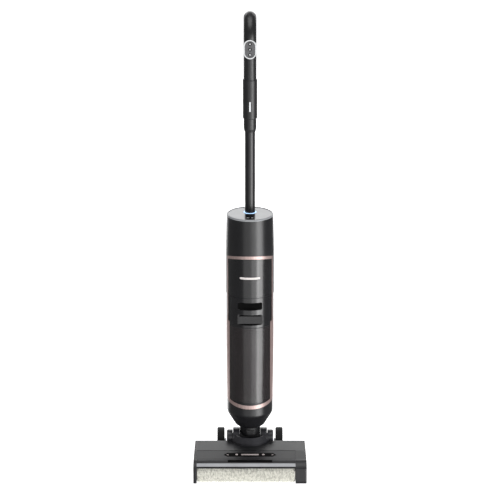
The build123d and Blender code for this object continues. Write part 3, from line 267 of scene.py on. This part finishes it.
def lit_plastic(name, code, strength):
    """Plastic with an even emitted glow, softer at the moulding's grain: a diffuser with a lamp behind it on
    the light ring, and a painted glow on the white print, which has no lamp behind it.
    """
    material, tree, shader, place = start(name, Base_Color=paint(code), Roughness=0.4,
                                          Emission_Color=paint(code), Emission_Strength=strength)
    bump(tree, shader, grain(tree, place, 1.0), 0.02)
    return material


def pleated_paper():
    """Filter paper: off-white fibre with grey loading."""
    material, tree, shader, place = start("pleated_filter_paper", Roughness=0.9)
    fibre = grain(tree, place, 1.6, 5.0)
    colour_by(tree, shader, fibre, "#b9b6ac", "#e6e4dc")
    bump(tree, shader, fibre, 0.2)
    return material


HOUSING = moulded_abs("satin_black_abs", "#101012", "#161618", 0.27, 0.33)
GRIP = moulded_abs("soft_touch_black_abs", "#131314", "#1a1a1c", 0.34, 0.42, 0.6, 0.015)
PANEL = polished_abs("piano_black_abs", "#0b0b0d", "#101012", 0.20)
HEAD = moulded_abs("textured_grey_abs", "#18181a", "#1f1f22", 0.40, 0.50, 0.9, 0.03)
# Painted highlight: the hinge saddle is the head's grey ABS made lighter, standing in for the lit crescent of
# its inner rim, and glossier.
SADDLE_PAINTED_HIGHLIGHT = moulded_abs("grey_abs_painted_highlight", "#26262a", "#2f2f33", 0.26, 0.34, 0.9, 0.02)
HEAD_DARK = moulded_abs("textured_dark_abs", "#131315", "#1a1a1c", 0.38, 0.48, 0.9, 0.03)
# Painted shade: near-black laid on the badge recess, the finger slot, the upper recess and the cover's
# creases.
PAINTED_SHADE_BLACK = painted_shade_finish("painted_shade_black", "#020202", "#050505")
INNER = moulded_abs("moulded_inner_polypropylene", "#26272a", "#323338", 0.45, 0.6, 1.2, 0.03)
DISC = moulded_abs("satin_light_abs", "#828487", "#8f9194", 0.26, 0.34, 0.6, 0.01)
FLOAT = moulded_abs("white_float_polypropylene", "#c6c6c2", "#dededa", 0.45, 0.55, 1.2, 0.02)
BATTERY = moulded_abs("battery_case_abs", "#1c2c44", "#26395a", 0.4, 0.5)
BOARD = moulded_abs("circuit_board_mask", "#0d3a20", "#155230", 0.3, 0.4, 2.0, 0.02)
RED_RUBBER = moulded_rubber("red_silicone", "#7a1f1c", "#a32c26")
TANK = tinted_polycarbonate("smoked_polycarbonate", ("#201b1c", "#282324"), 0.20, 0.45)
WINDOW = tinted_polycarbonate("frosted_polycarbonate", ("#a9abb0", "#b4b6ba"), 0.30, 0.35, 0.004)
ROSE = brushed_rose()
RING = polished_aluminium()
STEEL = machined_steel()
RUBBER = moulded_rubber("black_nitrile_rubber", "#151516", "#232324")
TYRE = moulded_rubber("tyre_rubber", "#121213", "#262627")
PILE = microfibre("microfibre_pile", "#a09f96", "#d9d8cf")
PAPER = pleated_paper()
# Painted light: the white print glows faintly, though no lamp stands behind it.
GLOWING_WHITE_PRINT = lit_plastic("white_print_painted_glow", "#d4d6d8", 0.12)
SILVER_PRINT = moulded_abs("silver_print", "#bdb6b4", "#d6d1cf", 0.28, 0.36, 0.6, 0.01)
BLUE_LIGHT = lit_plastic("blue_light_ring", "#a9cdf2", 1.2)
BADGE = moulded_abs("printed_badge_silver", "#b9aeac", "#d2c8c6", 0.3, 0.4, 0.8, 0.01)
PAD = moulded_abs("control_pad_abs", "#4a4a4c", "#57575a", 0.38, 0.46, 0.6, 0.015)

FINISH = {
    "housing_black": HOUSING, "panel_black": PANEL, "head_grey": HEAD, "wheel_black": HEAD_DARK,
    "tyre_rubber": TYRE, "seal_rubber": RUBBER, "roller_pile": PILE, "core_plastic": INNER,
    "window_clear": WINDOW, "tank_smoke": TANK, "rose_trim": ROSE, "bright_ring": RING,
    "disc_grey": DISC, "grip_black": GRIP, "steel": STEEL, "inner_plastic": INNER,
    "battery_wrap": BATTERY, "filter_paper": PAPER, "board_green": BOARD, "float_white": FLOAT,
}
OWN_FINISH = {
    "control_pad": PAD, "left_side_cap": HEAD_DARK, "drive_cap": HEAD_DARK, "cover_badge": PAINTED_SHADE_BLACK,
    "hinge_saddle": SADDLE_PAINTED_HIGHLIGHT,
}


def dress_nodes():
    """Each CAD node gets the finish of its material slot, or its own."""
    for part in frame["record"]["subparts"]:
        node = NODES[part["node"]]
        finish = OWN_FINISH.get(part["node"], FINISH[part["material_slot"]])
        node.data.materials.clear()
        node.data.materials.append(finish)


dress_nodes()


# ---------------------------------------------------------------- mesh helpers
def add_object(name, mesh, body, material):
    """Links a finished mesh, gives it its finish and lets it ride."""
    mesh.materials.clear()
    mesh.materials.append(material)
    piece = bpy.data.objects.new(name, mesh)
    bpy.context.scene.collection.objects.link(piece)
    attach(piece, body)
    return piece


def mesh_from(name, verts, faces, smooth=True):
    """A mesh with merged doubles and outward normals."""
    mesh = bpy.data.meshes.new(name)
    mesh.from_pydata(verts, [], faces)
    work = bmesh.new()
    work.from_mesh(mesh)
    bmesh.ops.remove_doubles(work, verts=work.verts, dist=1e-6)
    bmesh.ops.recalc_face_normals(work, faces=work.faces)
    work.to_mesh(mesh)
    work.free()
    for polygon in mesh.polygons:
        polygon.use_smooth = smooth
    return mesh


def turned(name, profile, place, steps=96, smooth=True):
    """A closed ring turned from a closed profile of (radius, height), standing along place's Z axis."""
    verts = []
    faces = []
    count = len(profile)
    for step in range(steps):
        angle = 2 * math.pi * step / steps
        for radius, height in profile:
            verts.append(place @ Vector((radius * math.cos(angle), radius * math.sin(angle), height)))
    for step in range(steps):
        following = (step + 1) % steps
        for i in range(count):
            j = (i + 1) % count
            faces.append((step * count + i, following * count + i, following * count + j, step * count + j))
    return mesh_from(name, verts, faces, smooth)


def plate(name, outline, place, thickness):
    """A flat plate from an outline in place's XY plane, thickness along its Z."""
    count = len(outline)
    verts = [place @ Vector((x, y, z)) for z in (0.0, thickness) for x, y in outline]
    faces = [tuple(range(count))[::-1], tuple(range(count, 2 * count))]
    for i in range(count):
        j = (i + 1) % count
        faces.append((i, j, count + j, count + i))
    return mesh_from(name, verts, faces, False)


def smooth_by_angle(piece, degrees=35.0):
    """Smooth shading except across sharp edges."""
    mesh = piece.data
    work = bmesh.new()
    work.from_mesh(mesh)
    limit = math.radians(degrees)
    for edge in work.edges:
        sharp = len(edge.link_faces) == 2 and edge.calc_face_angle(0.0) > limit
        edge.smooth = not sharp
    for face in work.faces:
        face.smooth = True
    work.to_mesh(mesh)
    work.free()


def arc_points(radius, start_deg, end_deg, steps, middle=(0.0, 0.0)):
    """Points on an arc."""
    points = []
    for i in range(steps + 1):
        angle = math.radians(start_deg + (end_deg - start_deg) * i / steps)
        points.append((middle[0] + radius * math.cos(angle), middle[1] + radius * math.sin(angle)))
    return points


def joined(name, meshes):
    """Several meshes as one."""
    work = bmesh.new()
    for mesh in meshes:
        work.from_mesh(mesh)
    result = bpy.data.meshes.new(name)
    work.to_mesh(result)
    work.free()
    for polygon in result.polygons:
        polygon.use_smooth = meshes[0].polygons[0].use_smooth
    return result


# ---------------------------------------------------------------- what Geometry Nodes repeat
def repeat_tree(name, maker):
    """Geometry Nodes: one copy of what maker builds on each point, standing along its normal, as one mesh."""
    tree = bpy.data.node_groups.new(name, "GeometryNodeTree")
    tree.interface.new_socket("Geometry", in_out="INPUT", socket_type="NodeSocketGeometry")
    for label in ("Width", "Height", "Lean"):
        tree.interface.new_socket(label, in_out="INPUT", socket_type="NodeSocketFloat")
    tree.interface.new_socket("Seed", in_out="INPUT", socket_type="NodeSocketInt")
    tree.interface.new_socket("Finish", in_out="INPUT", socket_type="NodeSocketMaterial")
    tree.interface.new_socket("Geometry", in_out="OUTPUT", socket_type="NodeSocketGeometry")
    given = add(tree, "NodeGroupInput")
    outward = add(tree, "GeometryNodeInputNormal")
    upright = add(tree, "FunctionNodeAlignRotationToVector", {"axis": "Z"},
                  links={"Vector": (outward, "Normal")})
    negative = add(tree, "ShaderNodeMath", {"operation": "MULTIPLY"}, {1: -1.0}, {0: (given, "Lean")})
    least = add(tree, "ShaderNodeCombineXYZ", links={"X": (negative, "Value"), "Y": (negative, "Value")})
    most = add(tree, "ShaderNodeCombineXYZ", links={"X": (given, "Lean"), "Y": (given, "Lean")})
    leaning = add(tree, "FunctionNodeRandomValue", {"data_type": "FLOAT_VECTOR"},
                  links={"Min": (least, "Vector"), "Max": (most, "Vector"), "Seed": (given, "Seed")})
    turn = add(tree, "FunctionNodeEulerToRotation", links={"Euler": (leaning, "Value")})
    facing = add(tree, "FunctionNodeRotateRotation", {"rotation_space": "LOCAL"},
                 links={"Rotation": (upright, "Rotation"), "Rotate By": (turn, "Rotation")})
    shape = maker(tree, given)
    placed = add(tree, "GeometryNodeInstanceOnPoints",
                 links={"Points": (given, "Geometry"), "Instance": (shape, "Mesh"),
                        "Rotation": (facing, "Rotation")})
    real = add(tree, "GeometryNodeRealizeInstances", links={"Geometry": (placed, "Instances")})
    dressed = add(tree, "GeometryNodeSetMaterial", links={"Geometry": (real, "Geometry"),
                                                          "Material": (given, "Finish")})
    add(tree, "NodeGroupOutput", links={"Geometry": (dressed, "Geometry")})
    return tree


def tapered_tuft(tree, given):
    """A five-sided tuft, narrower at its tip."""
    tip = add(tree, "ShaderNodeMath", {"operation": "MULTIPLY"}, {1: 0.4}, {0: (given, "Width")})
    return add(tree, "GeometryNodeMeshCone", inputs={"Vertices": 5},
               links={"Radius Bottom": (given, "Width"), "Radius Top": (tip, "Value"),
                      "Depth": (given, "Height")})


def round_head(tree, given):
    """A low screw head with a bevelled rim."""
    tip = add(tree, "ShaderNodeMath", {"operation": "MULTIPLY"}, {1: 0.82}, {0: (given, "Width")})
    return add(tree, "GeometryNodeMeshCone", inputs={"Vertices": 20},
               links={"Radius Bottom": (given, "Width"), "Radius Top": (tip, "Value"),
                      "Depth": (given, "Height")})


def grown(seed_mesh, tree, settings, name):
    """The plain mesh that a Geometry Nodes tree makes of a seed mesh."""
    holder = bpy.data.objects.new(name + "_seed", seed_mesh)
    modifier = holder.modifiers.new("grow", "NODES")
    modifier.node_group = tree
    for item in tree.interface.items_tree:
        if item.in_out == "INPUT" and item.name in settings:
            modifier[item.identifier] = settings[item.name]
    bpy.context.scene.collection.objects.link(holder)
    bpy.context.view_layer.update()
    evaluated = holder.evaluated_get(bpy.context.evaluated_depsgraph_get())
    mesh = bpy.data.meshes.new_from_object(evaluated)
    mesh.name = name
    holder.modifiers.clear()
    bpy.data.objects.remove(holder)
    return mesh


# ---------------------------------------------------------------- roller pile
def pile_sleeve(radius, inner):
    """The woven ground of the pile, closed at both ends, with soft round shoulders."""
    length = ROLLER_X1 - ROLLER_X0
    shoulder = 2.5 * MM
    profile = [(inner, 0.0), (inner, length)]
    profile += [(radius - shoulder + x, length - shoulder + y) for x, y in arc_points(shoulder, 90, 0, 4)]
    along = 60
    profile += [(radius, length - shoulder - (length - 2 * shoulder) * i / along) for i in range(1, along)]
    profile += [(radius - shoulder + x, shoulder + y) for x, y in arc_points(shoulder, 0, -90, 4)]
    place = Matrix.Translation((ROLLER_X0, ROLLER.y, ROLLER.z)) @ Matrix.Rotation(math.radians(90), 4, "Y")
    return turned("pile_ground", profile, place, 120)


def tuft_lattice(radius, spacing):
    """An open tube whose corners are the tufts' places, in staggered rows, facing outwards."""
    rng = random.Random(11)
    around = int(2 * math.pi * radius / spacing)
    length = ROLLER_X1 - ROLLER_X0 - 4 * MM
    along = int(length / spacing)
    verts = []
    faces = []
    for i in range(along):
        for j in range(around):
            angle = 2 * math.pi * (j + 0.5 * (i % 2)) / around + rng.uniform(-0.02, 0.02)
            x = ROLLER_X0 + 2 * MM + length * (i + 0.5) / along + rng.uniform(-0.3, 0.3) * MM
            verts.append((x, ROLLER.y + radius * math.cos(angle), ROLLER.z + radius * math.sin(angle)))
            if i:
                k = (j + 1) % around
                faces.append(((i - 1) * around + j, (i - 1) * around + k, i * around + k, i * around + j))
    mesh = bpy.data.meshes.new("tuft_lattice")
    mesh.from_pydata(verts, [], faces)
    work = bmesh.new()
    work.from_mesh(mesh)
    work.normal_update()
    face = work.faces[:][0]
    out = Vector((0.0, face.calc_center_median().y - ROLLER.y, face.calc_center_median().z - ROLLER.z))
    if face.normal.dot(out) < 0:
        bmesh.ops.reverse_faces(work, faces=work.faces)
    work.to_mesh(mesh)
    work.free()
    return mesh


def make_pile():
    """The roller's microfibre pile: a woven ground with tufts standing on it."""
    ground_radius = ROLLER_R - 1.5 * MM
    ground = pile_sleeve(ground_radius, 20.5 * MM)
    tufts = grown(tuft_lattice(ground_radius - 0.3 * MM, 2.3 * MM), repeat_tree("pile_tufts", tapered_tuft),
                  {"Width": 1.3 * MM, "Height": 1.7 * MM, "Lean": 0.35, "Seed": 5, "Finish": PILE}, "tufts")
    for polygon in tufts.polygons:
        polygon.use_smooth = True
    mesh = joined("roller_pile_fibres", [ground, tufts])
    piece = add_object("roller_pile_fibres", mesh, "roller", PILE)
    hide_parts("roller_pile")


make_pile()


# ---------------------------------------------------------------- fine pieces on round walls
def wrapped(name, width, z0, z1, radius, axis_y, proud, side=-1, round_ends=True):
    """A thin raised strip lying on an upright round wall; side -1 is the front and 1 the rear."""
    steps = max(8, int(width / (1.5 * MM)))
    half = (z1 - z0) / 2
    middle = (z0 + z1) / 2
    verts = []
    faces = []
    for i in range(steps + 1):
        across = -width / 2 + width * i / steps
        over = abs(across) - (width / 2 - half)
        tall = half
        if round_ends and over > 0:
            tall = max(math.sqrt(max(half * half - over * over, 0.0)), 0.08 * half)
        angle = across / radius
        for depth, z in ((-0.15 * MM, middle - tall), (proud, middle - tall), (proud, middle + tall),
                         (-0.15 * MM, middle + tall)):
            reach = radius + depth
            verts.append((reach * math.sin(angle), axis_y + side * reach * math.cos(angle), z))
    for i in range(steps):
        for k in range(4):
            m = (k + 1) % 4
            faces.append((4 * i + k, 4 * i + m, 4 * i + 4 + m, 4 * i + 4 + k))
    faces.append((0, 1, 2, 3))
    faces.append((4 * steps + 3, 4 * steps + 2, 4 * steps + 1, 4 * steps))
    return mesh_from(name, verts, faces, False)


def flat_ring(name, outer, inner, thickness, place, steps=48):
    """A thin flat ring lying in place's XY plane."""
    profile = [(outer, 0.0), (outer, thickness), (inner, thickness), (inner, 0.0)]
    return turned(name, profile, place, steps, False)


def make_body_marks():
    """The plain bar on the front panel and the lit ring at the handle's foot."""
    bar_z = centre("front_panel").z + 1.0 * MM
    bar = wrapped("panel_bar", 52 * MM, bar_z - 2.6 * MM, bar_z + 2.6 * MM, BODY_R, BODY_Y, 0.12 * MM)
    add_object("panel_bar", bar, "body", SILVER_PRINT)
    foot = Matrix.Translation((0.0, WAND_Y, BODY_TOP - 3.9 * MM))
    ring = turned("light_ring", [(15.5 * MM, 0.0), (15.5 * MM, 3.6 * MM), (15.0 * MM, 4.1 * MM),
                                 (13.3 * MM, 4.1 * MM), (12.8 * MM, 3.6 * MM), (12.8 * MM, 0.0)], foot)
    piece = add_object("light_ring", ring, "body", BLUE_LIGHT)
    smooth_by_angle(piece)


def make_display_icons():
    """A battery sign and a drop ring, printed on the display strip."""
    top = high("display_window").z
    for name, x in (("battery_sign", -5.0), ("water_sign", 5.0)):
        place = Matrix.Translation((x * MM, BODY_Y - 37 * MM, top - 0.05 * MM))
        if name == "battery_sign":
            strokes = [plate("bar", box_outline(5.4 * MM, 0.55 * MM, 0.0, y * MM), place, PRINT)
                          for y in (-1.3, 1.3)]
            strokes += [plate("bar", box_outline(0.55 * MM, 3.2 * MM, dx * MM, 0.0), place, PRINT)
                           for dx in (-2.6, 2.6)]
            strokes.append(plate("bar", box_outline(2.4 * MM, 1.4 * MM, -0.8 * MM, 0.0), place, PRINT))
        else:
            strokes = [flat_ring("ring", 2.2 * MM, 1.5 * MM, PRINT, place)]
        add_object(name, joined(name, strokes), "body", GLOWING_WHITE_PRINT)


def box_outline(width, height, x=0.0, y=0.0):
    """Corners of a rectangle about a point."""
    return [(x - width / 2, y - height / 2), (x + width / 2, y - height / 2),
            (x + width / 2, y + height / 2), (x - width / 2, y + height / 2)]


def make_button_icons():
    """A print on each button: triangle, diamond and the generic power ring."""
    for node, body in (("dispense_button", "dispense_key"), ("mode_button", "mode_key"),
                       ("power_button", "power_key")):
        middle = centre(node)
        front = low(node).y
        place = (Matrix.Translation((0.0, front + 0.05 * MM, middle.z))
                 @ Matrix.Rotation(math.radians(90), 4, "X"))
        if node == "dispense_button":
            corners = [(-1.9 * MM, -1.3 * MM), (1.9 * MM, -1.3 * MM), (0.0, 2.1 * MM)]
            parts = [plate("sign", corners, place, PRINT)]
        elif node == "mode_button":
            parts = [flat_ring("sign", 2.3 * MM, 1.5 * MM, PRINT, place, 4)]
        else:
            parts = [flat_ring("sign", 2.2 * MM, 1.6 * MM, PRINT, place, 32),
                     plate("sign", box_outline(0.6 * MM, 2.2 * MM, 0.0, 1.2 * MM), place, 0.22 * MM)]
        add_object(node + "_sign", joined(node + "_sign", parts), body, GLOWING_WHITE_PRINT)


def make_sleeve_mark():
    """A plain upright bar on the front of the grip sleeve."""
    z = centre("grip_sleeve").z
    radius = (high("grip_sleeve").x - low("grip_sleeve").x) / 2
    bar = wrapped("sleeve_bar", 3.2 * MM, z - 12 * MM, z + 12 * MM, radius, WAND_Y, 0.12 * MM,
                  round_ends=False)
    add_object("sleeve_bar", bar, "handle", GLOWING_WHITE_PRINT)


def make_tank_pieces():
    """Red collar at the tank's foot, gasket under the lid, and three moulded ribs."""
    floor_z = low("dirty_tank_shell").z
    pipe_y = centre("inlet_pipe").y
    place = Matrix.Translation((0.0, pipe_y, floor_z + 12 * MM))
    profile = [(17 * MM, 0.0), (17.6 * MM, 1.2 * MM), (17.6 * MM, 20 * MM), (16 * MM, 22 * MM),
               (13.3 * MM, 22 * MM), (13.3 * MM, 0.0)]
    collar = turned("tank_collar", profile, place)
    smooth_by_angle(add_object("tank_collar", collar, "dirty_tank", RED_RUBBER))
    seam = low("tank_lid").z
    gasket = wrapped("lid_gasket", 112 * MM, seam - 0.7 * MM, seam + 0.7 * MM, BODY_R, BODY_Y, 0.1 * MM,
                     round_ends=False)
    add_object("lid_gasket", gasket, "dirty_tank", RUBBER)
    ribs = [wrapped("rib", (56 - 3 * row) * MM, seam - (5.5 + 4 * row) * MM, seam - (4.6 + 4 * row) * MM,
                    BODY_R, BODY_Y, 0.3 * MM) for row in range(3)]
    add_object("tank_ribs", joined("tank_ribs", ribs), "dirty_tank", TANK)


def make_level_marks():
    """Level lines on the back of the clean tank."""
    bottom = low("clean_tank_shell").z
    lines = []
    for row in range(9):
        width = 16 if row % 4 == 0 else 9
        z = bottom + (30 + 22 * row) * MM
        radius = back_radius(z)
        lines.append(wrapped("line", width * MM, z - 0.5 * MM, z + 0.5 * MM, radius, BODY_Y, 0.12 * MM, 1))
    add_object("level_marks", joined("level_marks", lines), "clean_tank", GLOWING_WHITE_PRINT)


def back_radius(z):
    """Radius of the clean tank's rear wall at a height, from its mesh near there or nearest to it."""
    mesh = NODES["clean_tank_shell"].data
    close_by = [v.co.y - BODY_Y for v in mesh.vertices
                if abs(v.co.z - z) < 14 * MM and abs(v.co.x) < 12 * MM]
    if close_by:
        return max(close_by)
    nearest = min(mesh.vertices, key=lambda v: abs(v.co.z - z) + abs(v.co.x) * 0.5 - v.co.y * 2)
    return nearest.co.y - BODY_Y


def make_badge_marks():
    """Silver faces on the badge's bar and studs, and a small mark at each pointed end."""
    lowest, highest = low("cover_badge"), high("cover_badge")
    half = (highest.y - lowest.y) / 2
    place = (Matrix.Translation((0.0, (lowest.y + highest.y) / 2, highest.z - half * math.tan(COVER_TILT)))
             @ Matrix.Rotation(COVER_TILT, 4, "X"))
    bar_top, stud_top, stud_x, end_x = 0.45 * MM, 0.65 * MM, 33 * MM, 56 * MM
    on_bar = place @ Matrix.Translation((0, 0, bar_top))
    parts = [plate("bar", box_outline(43.4 * MM, 5.4 * MM), on_bar, PRINT)]
    for side in (-1, 1):
        stud = place @ Matrix.Translation((side * stud_x, 0, stud_top))
        parts.append(plate("stud", arc_points(3.4 * MM, 0, 345, 23), stud, 0.25 * MM))
        end = place @ Matrix.Translation((side * end_x, 0, -0.05 * MM))
        tip = side * 3.0 * MM
        arrow = [(tip, 0.0), (-tip, 2.2 * MM), (-tip * 0.4, 0.0), (-tip, -2.2 * MM)]
        parts.append(plate("end", sorted_outline(arrow, side), end, PRINT))
    add_object("badge_marks", joined("badge_marks", parts), "cover", BADGE)


def make_finger_slot_shade():
    """Painted shade: a near-black sheet on the floor of the finger slot in the cover, standing in for its
    shadow.
    """
    radius = ROLLER_R + 3.6 * MM
    first_angle, last_angle = 96.6, 113.4
    middle = Vector((ROLLER.y, ROLLER.z))
    half = 54.6 * MM
    verts = []
    faces = []
    steps = 8
    for i in range(steps + 1):
        angle = math.radians(first_angle + (last_angle - first_angle) * i / steps)
        for x in (-half, half):
            for reach in (radius - 0.2 * MM, radius + 0.15 * MM):
                verts.append((x, middle.x + reach * math.cos(angle), middle.y + reach * math.sin(angle)))
    for i in range(steps):
        base = 4 * i
        for a, b in ((0, 1), (1, 3), (3, 2), (2, 0)):
            faces.append((base + a, base + b, base + 4 + b, base + 4 + a))
    faces += [(0, 2, 3, 1), (4 * steps, 4 * steps + 1, 4 * steps + 3, 4 * steps + 2)]
    shade_sheet = mesh_from("finger_slot_painted_shade", verts, faces, False)
    add_object("finger_slot_painted_shade", shade_sheet, "cover", PAINTED_SHADE_BLACK)


def make_recess_shade():
    """Painted shade: a near-black sheet on the floor of the upper finger recess, standing in for its shadow.
    """
    above_lid_foot, depth = 56.1 * MM, 7 * MM
    middle_z = low("tank_lid").z + above_lid_foot
    half = 29.9 * MM
    tall = 8.9 * MM
    corner = 3.4 * MM
    outline = []
    for turn, x, z in ((0, half, tall), (90, -half, tall), (180, -half, -tall), (270, half, -tall)):
        middle = (x - math.copysign(corner, x), z - math.copysign(corner, z))
        outline += arc_points(corner, turn, turn + 90, 6, middle)
    place = (Matrix.Translation((0.0, BODY_Y - BODY_R + depth, middle_z))
             @ Matrix.Rotation(math.radians(90), 4, "X"))
    shade_sheet = plate("recess_painted_shade", outline, place, PRINT)
    add_object("recess_painted_shade", shade_sheet, "dirty_tank", PAINTED_SHADE_BLACK)


def make_crease_lines():
    """Shadow lines along the two creases of the cover."""
    cover_low, cover_high = low("brush_cover"), high("brush_cover")
    top_rear = cover_high.z
    drop = (cover_high.y - ROLLER.y) * math.tan(COVER_TILT)
    width = cover_high.x - cover_low.x - 0.4 * MM
    middle_x = (cover_high.x + cover_low.x) / 2
    parts = []
    for y, z in ((cover_high.y - 0.6 * MM, top_rear - 0.6 * MM * math.tan(COVER_TILT)),
                 (ROLLER.y + 0.7 * MM, top_rear - drop + 0.7 * MM * math.tan(COVER_TILT))):
        place = Matrix.Translation((middle_x, y, z - 0.05 * MM)) @ Matrix.Rotation(COVER_TILT, 4, "X")
        parts.append(plate("line", box_outline(width, 1.0 * MM), place, 0.12 * MM))
    add_object("crease_lines", joined("crease_lines", parts), "cover", PAINTED_SHADE_BLACK)


def sorted_outline(points, side):
    """The outline counter-clockwise on either side."""
    return points if side > 0 else points[::-1]


def point_seeds(places, outward):
    """A tiny triangle at each place, facing outwards, whose first corner carries a repeated piece."""
    verts = []
    faces = []
    for spot, out in zip(places, outward):
        side = out.orthogonal().normalized()
        across = out.cross(side)
        base = len(verts)
        verts += [spot, spot + side * 0.001 * MM, spot + across * 0.001 * MM]
        faces.append((base, base + 1, base + 2))
    mesh = bpy.data.meshes.new("seeds")
    mesh.from_pydata(verts, [], faces)
    return mesh


def make_screws():
    """Screw heads on the back of the upper housing."""
    places = []
    outward = []
    housing_low = low("motor_housing").z
    for turn in (-38, 38):
        for rise in (14, 108):
            angle = math.radians(turn)
            out = Vector((math.sin(angle), math.cos(angle), 0.0))
            places.append(Vector((0.0, BODY_Y, housing_low + rise * MM)) + out * (BODY_R - 0.1 * MM))
            outward.append(out)
    sizes = {"Width": 3.2 * MM, "Height": 0.5 * MM, "Lean": 0.0, "Seed": 1, "Finish": STEEL}
    heads = grown(point_seeds(places, outward), repeat_tree("screw_heads", round_head), sizes, "screw_heads")
    add_object("housing_screws", heads, "body", STEEL)


def make_wheel_details():
    """Raised ribs round each tyre's outer wall."""
    tree = repeat_tree("tyre_ribs", round_head)
    rib_count, ring_radius = 36, 34.5 * MM
    for side, name in ((-1, "left"), (1, "right")):
        tyre = "tyre_" + name
        middle = centre(tyre)
        outer_x = high(tyre).x if side > 0 else low(tyre).x
        out = Vector((side, 0.0, 0.0))
        places = []
        for step in range(rib_count):
            angle = 2 * math.pi * step / rib_count
            places.append(Vector((outer_x - side * 0.05 * MM, middle.y + ring_radius * math.cos(angle),
                                  middle.z + ring_radius * math.sin(angle))))
        ribs = grown(point_seeds(places, [out] * rib_count), tree,
                     {"Width": 0.9 * MM, "Height": 0.35 * MM, "Lean": 0.0, "Seed": 1, "Finish": TYRE}, "ribs")
        add_object("tyre_ribs_" + name, ribs, "wheel_" + name, TYRE)


make_body_marks()
make_display_icons()
make_button_icons()
make_sleeve_mark()
make_tank_pieces()
make_level_marks()
make_badge_marks()
make_finger_slot_shade()
make_recess_shade()
make_crease_lines()
make_screws()
make_wheel_details()


# ---------------------------------------------------------------- studio
def area_light(name, location, target, width, height, power):
    """A soft rectangular light aimed at a point."""
    data = bpy.data.lights.new(name, "AREA")
    data.shape = "RECTANGLE"
    data.size = width
    data.size_y = height
    data.energy = power
    light = bpy.data.objects.new(name, data)
    light.location = location
    light.rotation_euler = (Vector(target) - Vector(location)).to_track_quat("-Z", "Y").to_euler()
    bpy.context.scene.collection.objects.link(light)


def make_floor():
    """Plain pale floor. Reflections and lights pass it, so that low softboxes show in upright walls."""
    mesh = bpy.data.meshes.new("floor")
    reach = 14.0
    mesh.from_pydata([(-reach, -reach, 0), (reach, -reach, 0), (reach, reach, 0), (-reach, reach, 0)], [],
                     [(0, 1, 2, 3)])
    floor = bpy.data.objects.new("floor", mesh)
    material, tree, shader, place = start("pale_studio_floor", Base_Color=paint("#f2f2f2"), Roughness=0.8,
                                          Specular_IOR_Level=0.1, Emission_Color=(1.0, 1.0, 1.0, 1.0),
                                          Emission_Strength=0.92)
    bump(tree, shader, grain(tree, place, 8.0), 0.02)
    mesh.materials.append(material)
    bpy.context.scene.collection.objects.link(floor)
    floor.visible_glossy = False
    floor.visible_shadow = False


def make_world():
    """White round the machine, dimmer in reflections so that black plastic stays black."""
    world = bpy.data.worlds.new("studio")
    world.use_nodes = True
    tree = world.node_tree
    tree.nodes.clear()
    seen = add(tree, "ShaderNodeBackground", inputs={"Color": (1.0, 1.0, 1.0, 1.0), "Strength": 1.0})
    cast = add(tree, "ShaderNodeBackground", inputs={"Color": (1.0, 1.0, 1.0, 1.0), "Strength": 0.2})
    path = add(tree, "ShaderNodeLightPath")
    mix = tree.nodes.new("ShaderNodeMixShader")
    tree.links.new(path.outputs["Is Camera Ray"], mix.inputs[0])
    tree.links.new(cast.outputs[0], mix.inputs[1])
    tree.links.new(seen.outputs[0], mix.inputs[2])
    output = tree.nodes.new("ShaderNodeOutputWorld")
    tree.links.new(mix.outputs[0], output.inputs["Surface"])
    bpy.context.scene.world = world


def softbox(name, azimuth, distance, middle_z, width, height, radiance):
    """A softbox beside the machine at an azimuth counted from the front towards +X."""
    angle = math.radians(azimuth)
    place = (distance * math.sin(angle), -distance * math.cos(angle), middle_z)
    power = radiance * math.pi * width * height
    area_light(name, place, (0.0, 0.0, middle_z), width, height, power)


make_floor()
make_world()
softbox("key_right", 48.0, 2.8, -0.25, 1.5, 2.6, 5.6)
softbox("key_middle", 26.0, 3.0, -0.25, 1.9, 2.6, 2.2)
softbox("fill_front", -10.0, 3.3, -0.3, 2.6, 2.6, 0.9)
softbox("rim_left", -150.0, 2.6, -0.2, 0.6, 2.6, 3.0)
softbox("rim_right", 158.0, 2.6, -0.2, 0.5, 2.6, 3.0)
area_light("top", (0.0, -0.4, 3.2), (0.0, 0.0, 0.3), 2.2, 2.2, 42.0)
area_light("back_wall", (0.0, 3.6, 1.9), (0.0, 0.0, 0.4), 3.4, 1.6, 45.0)
bpy.context.scene.view_settings.view_transform = "Standard"
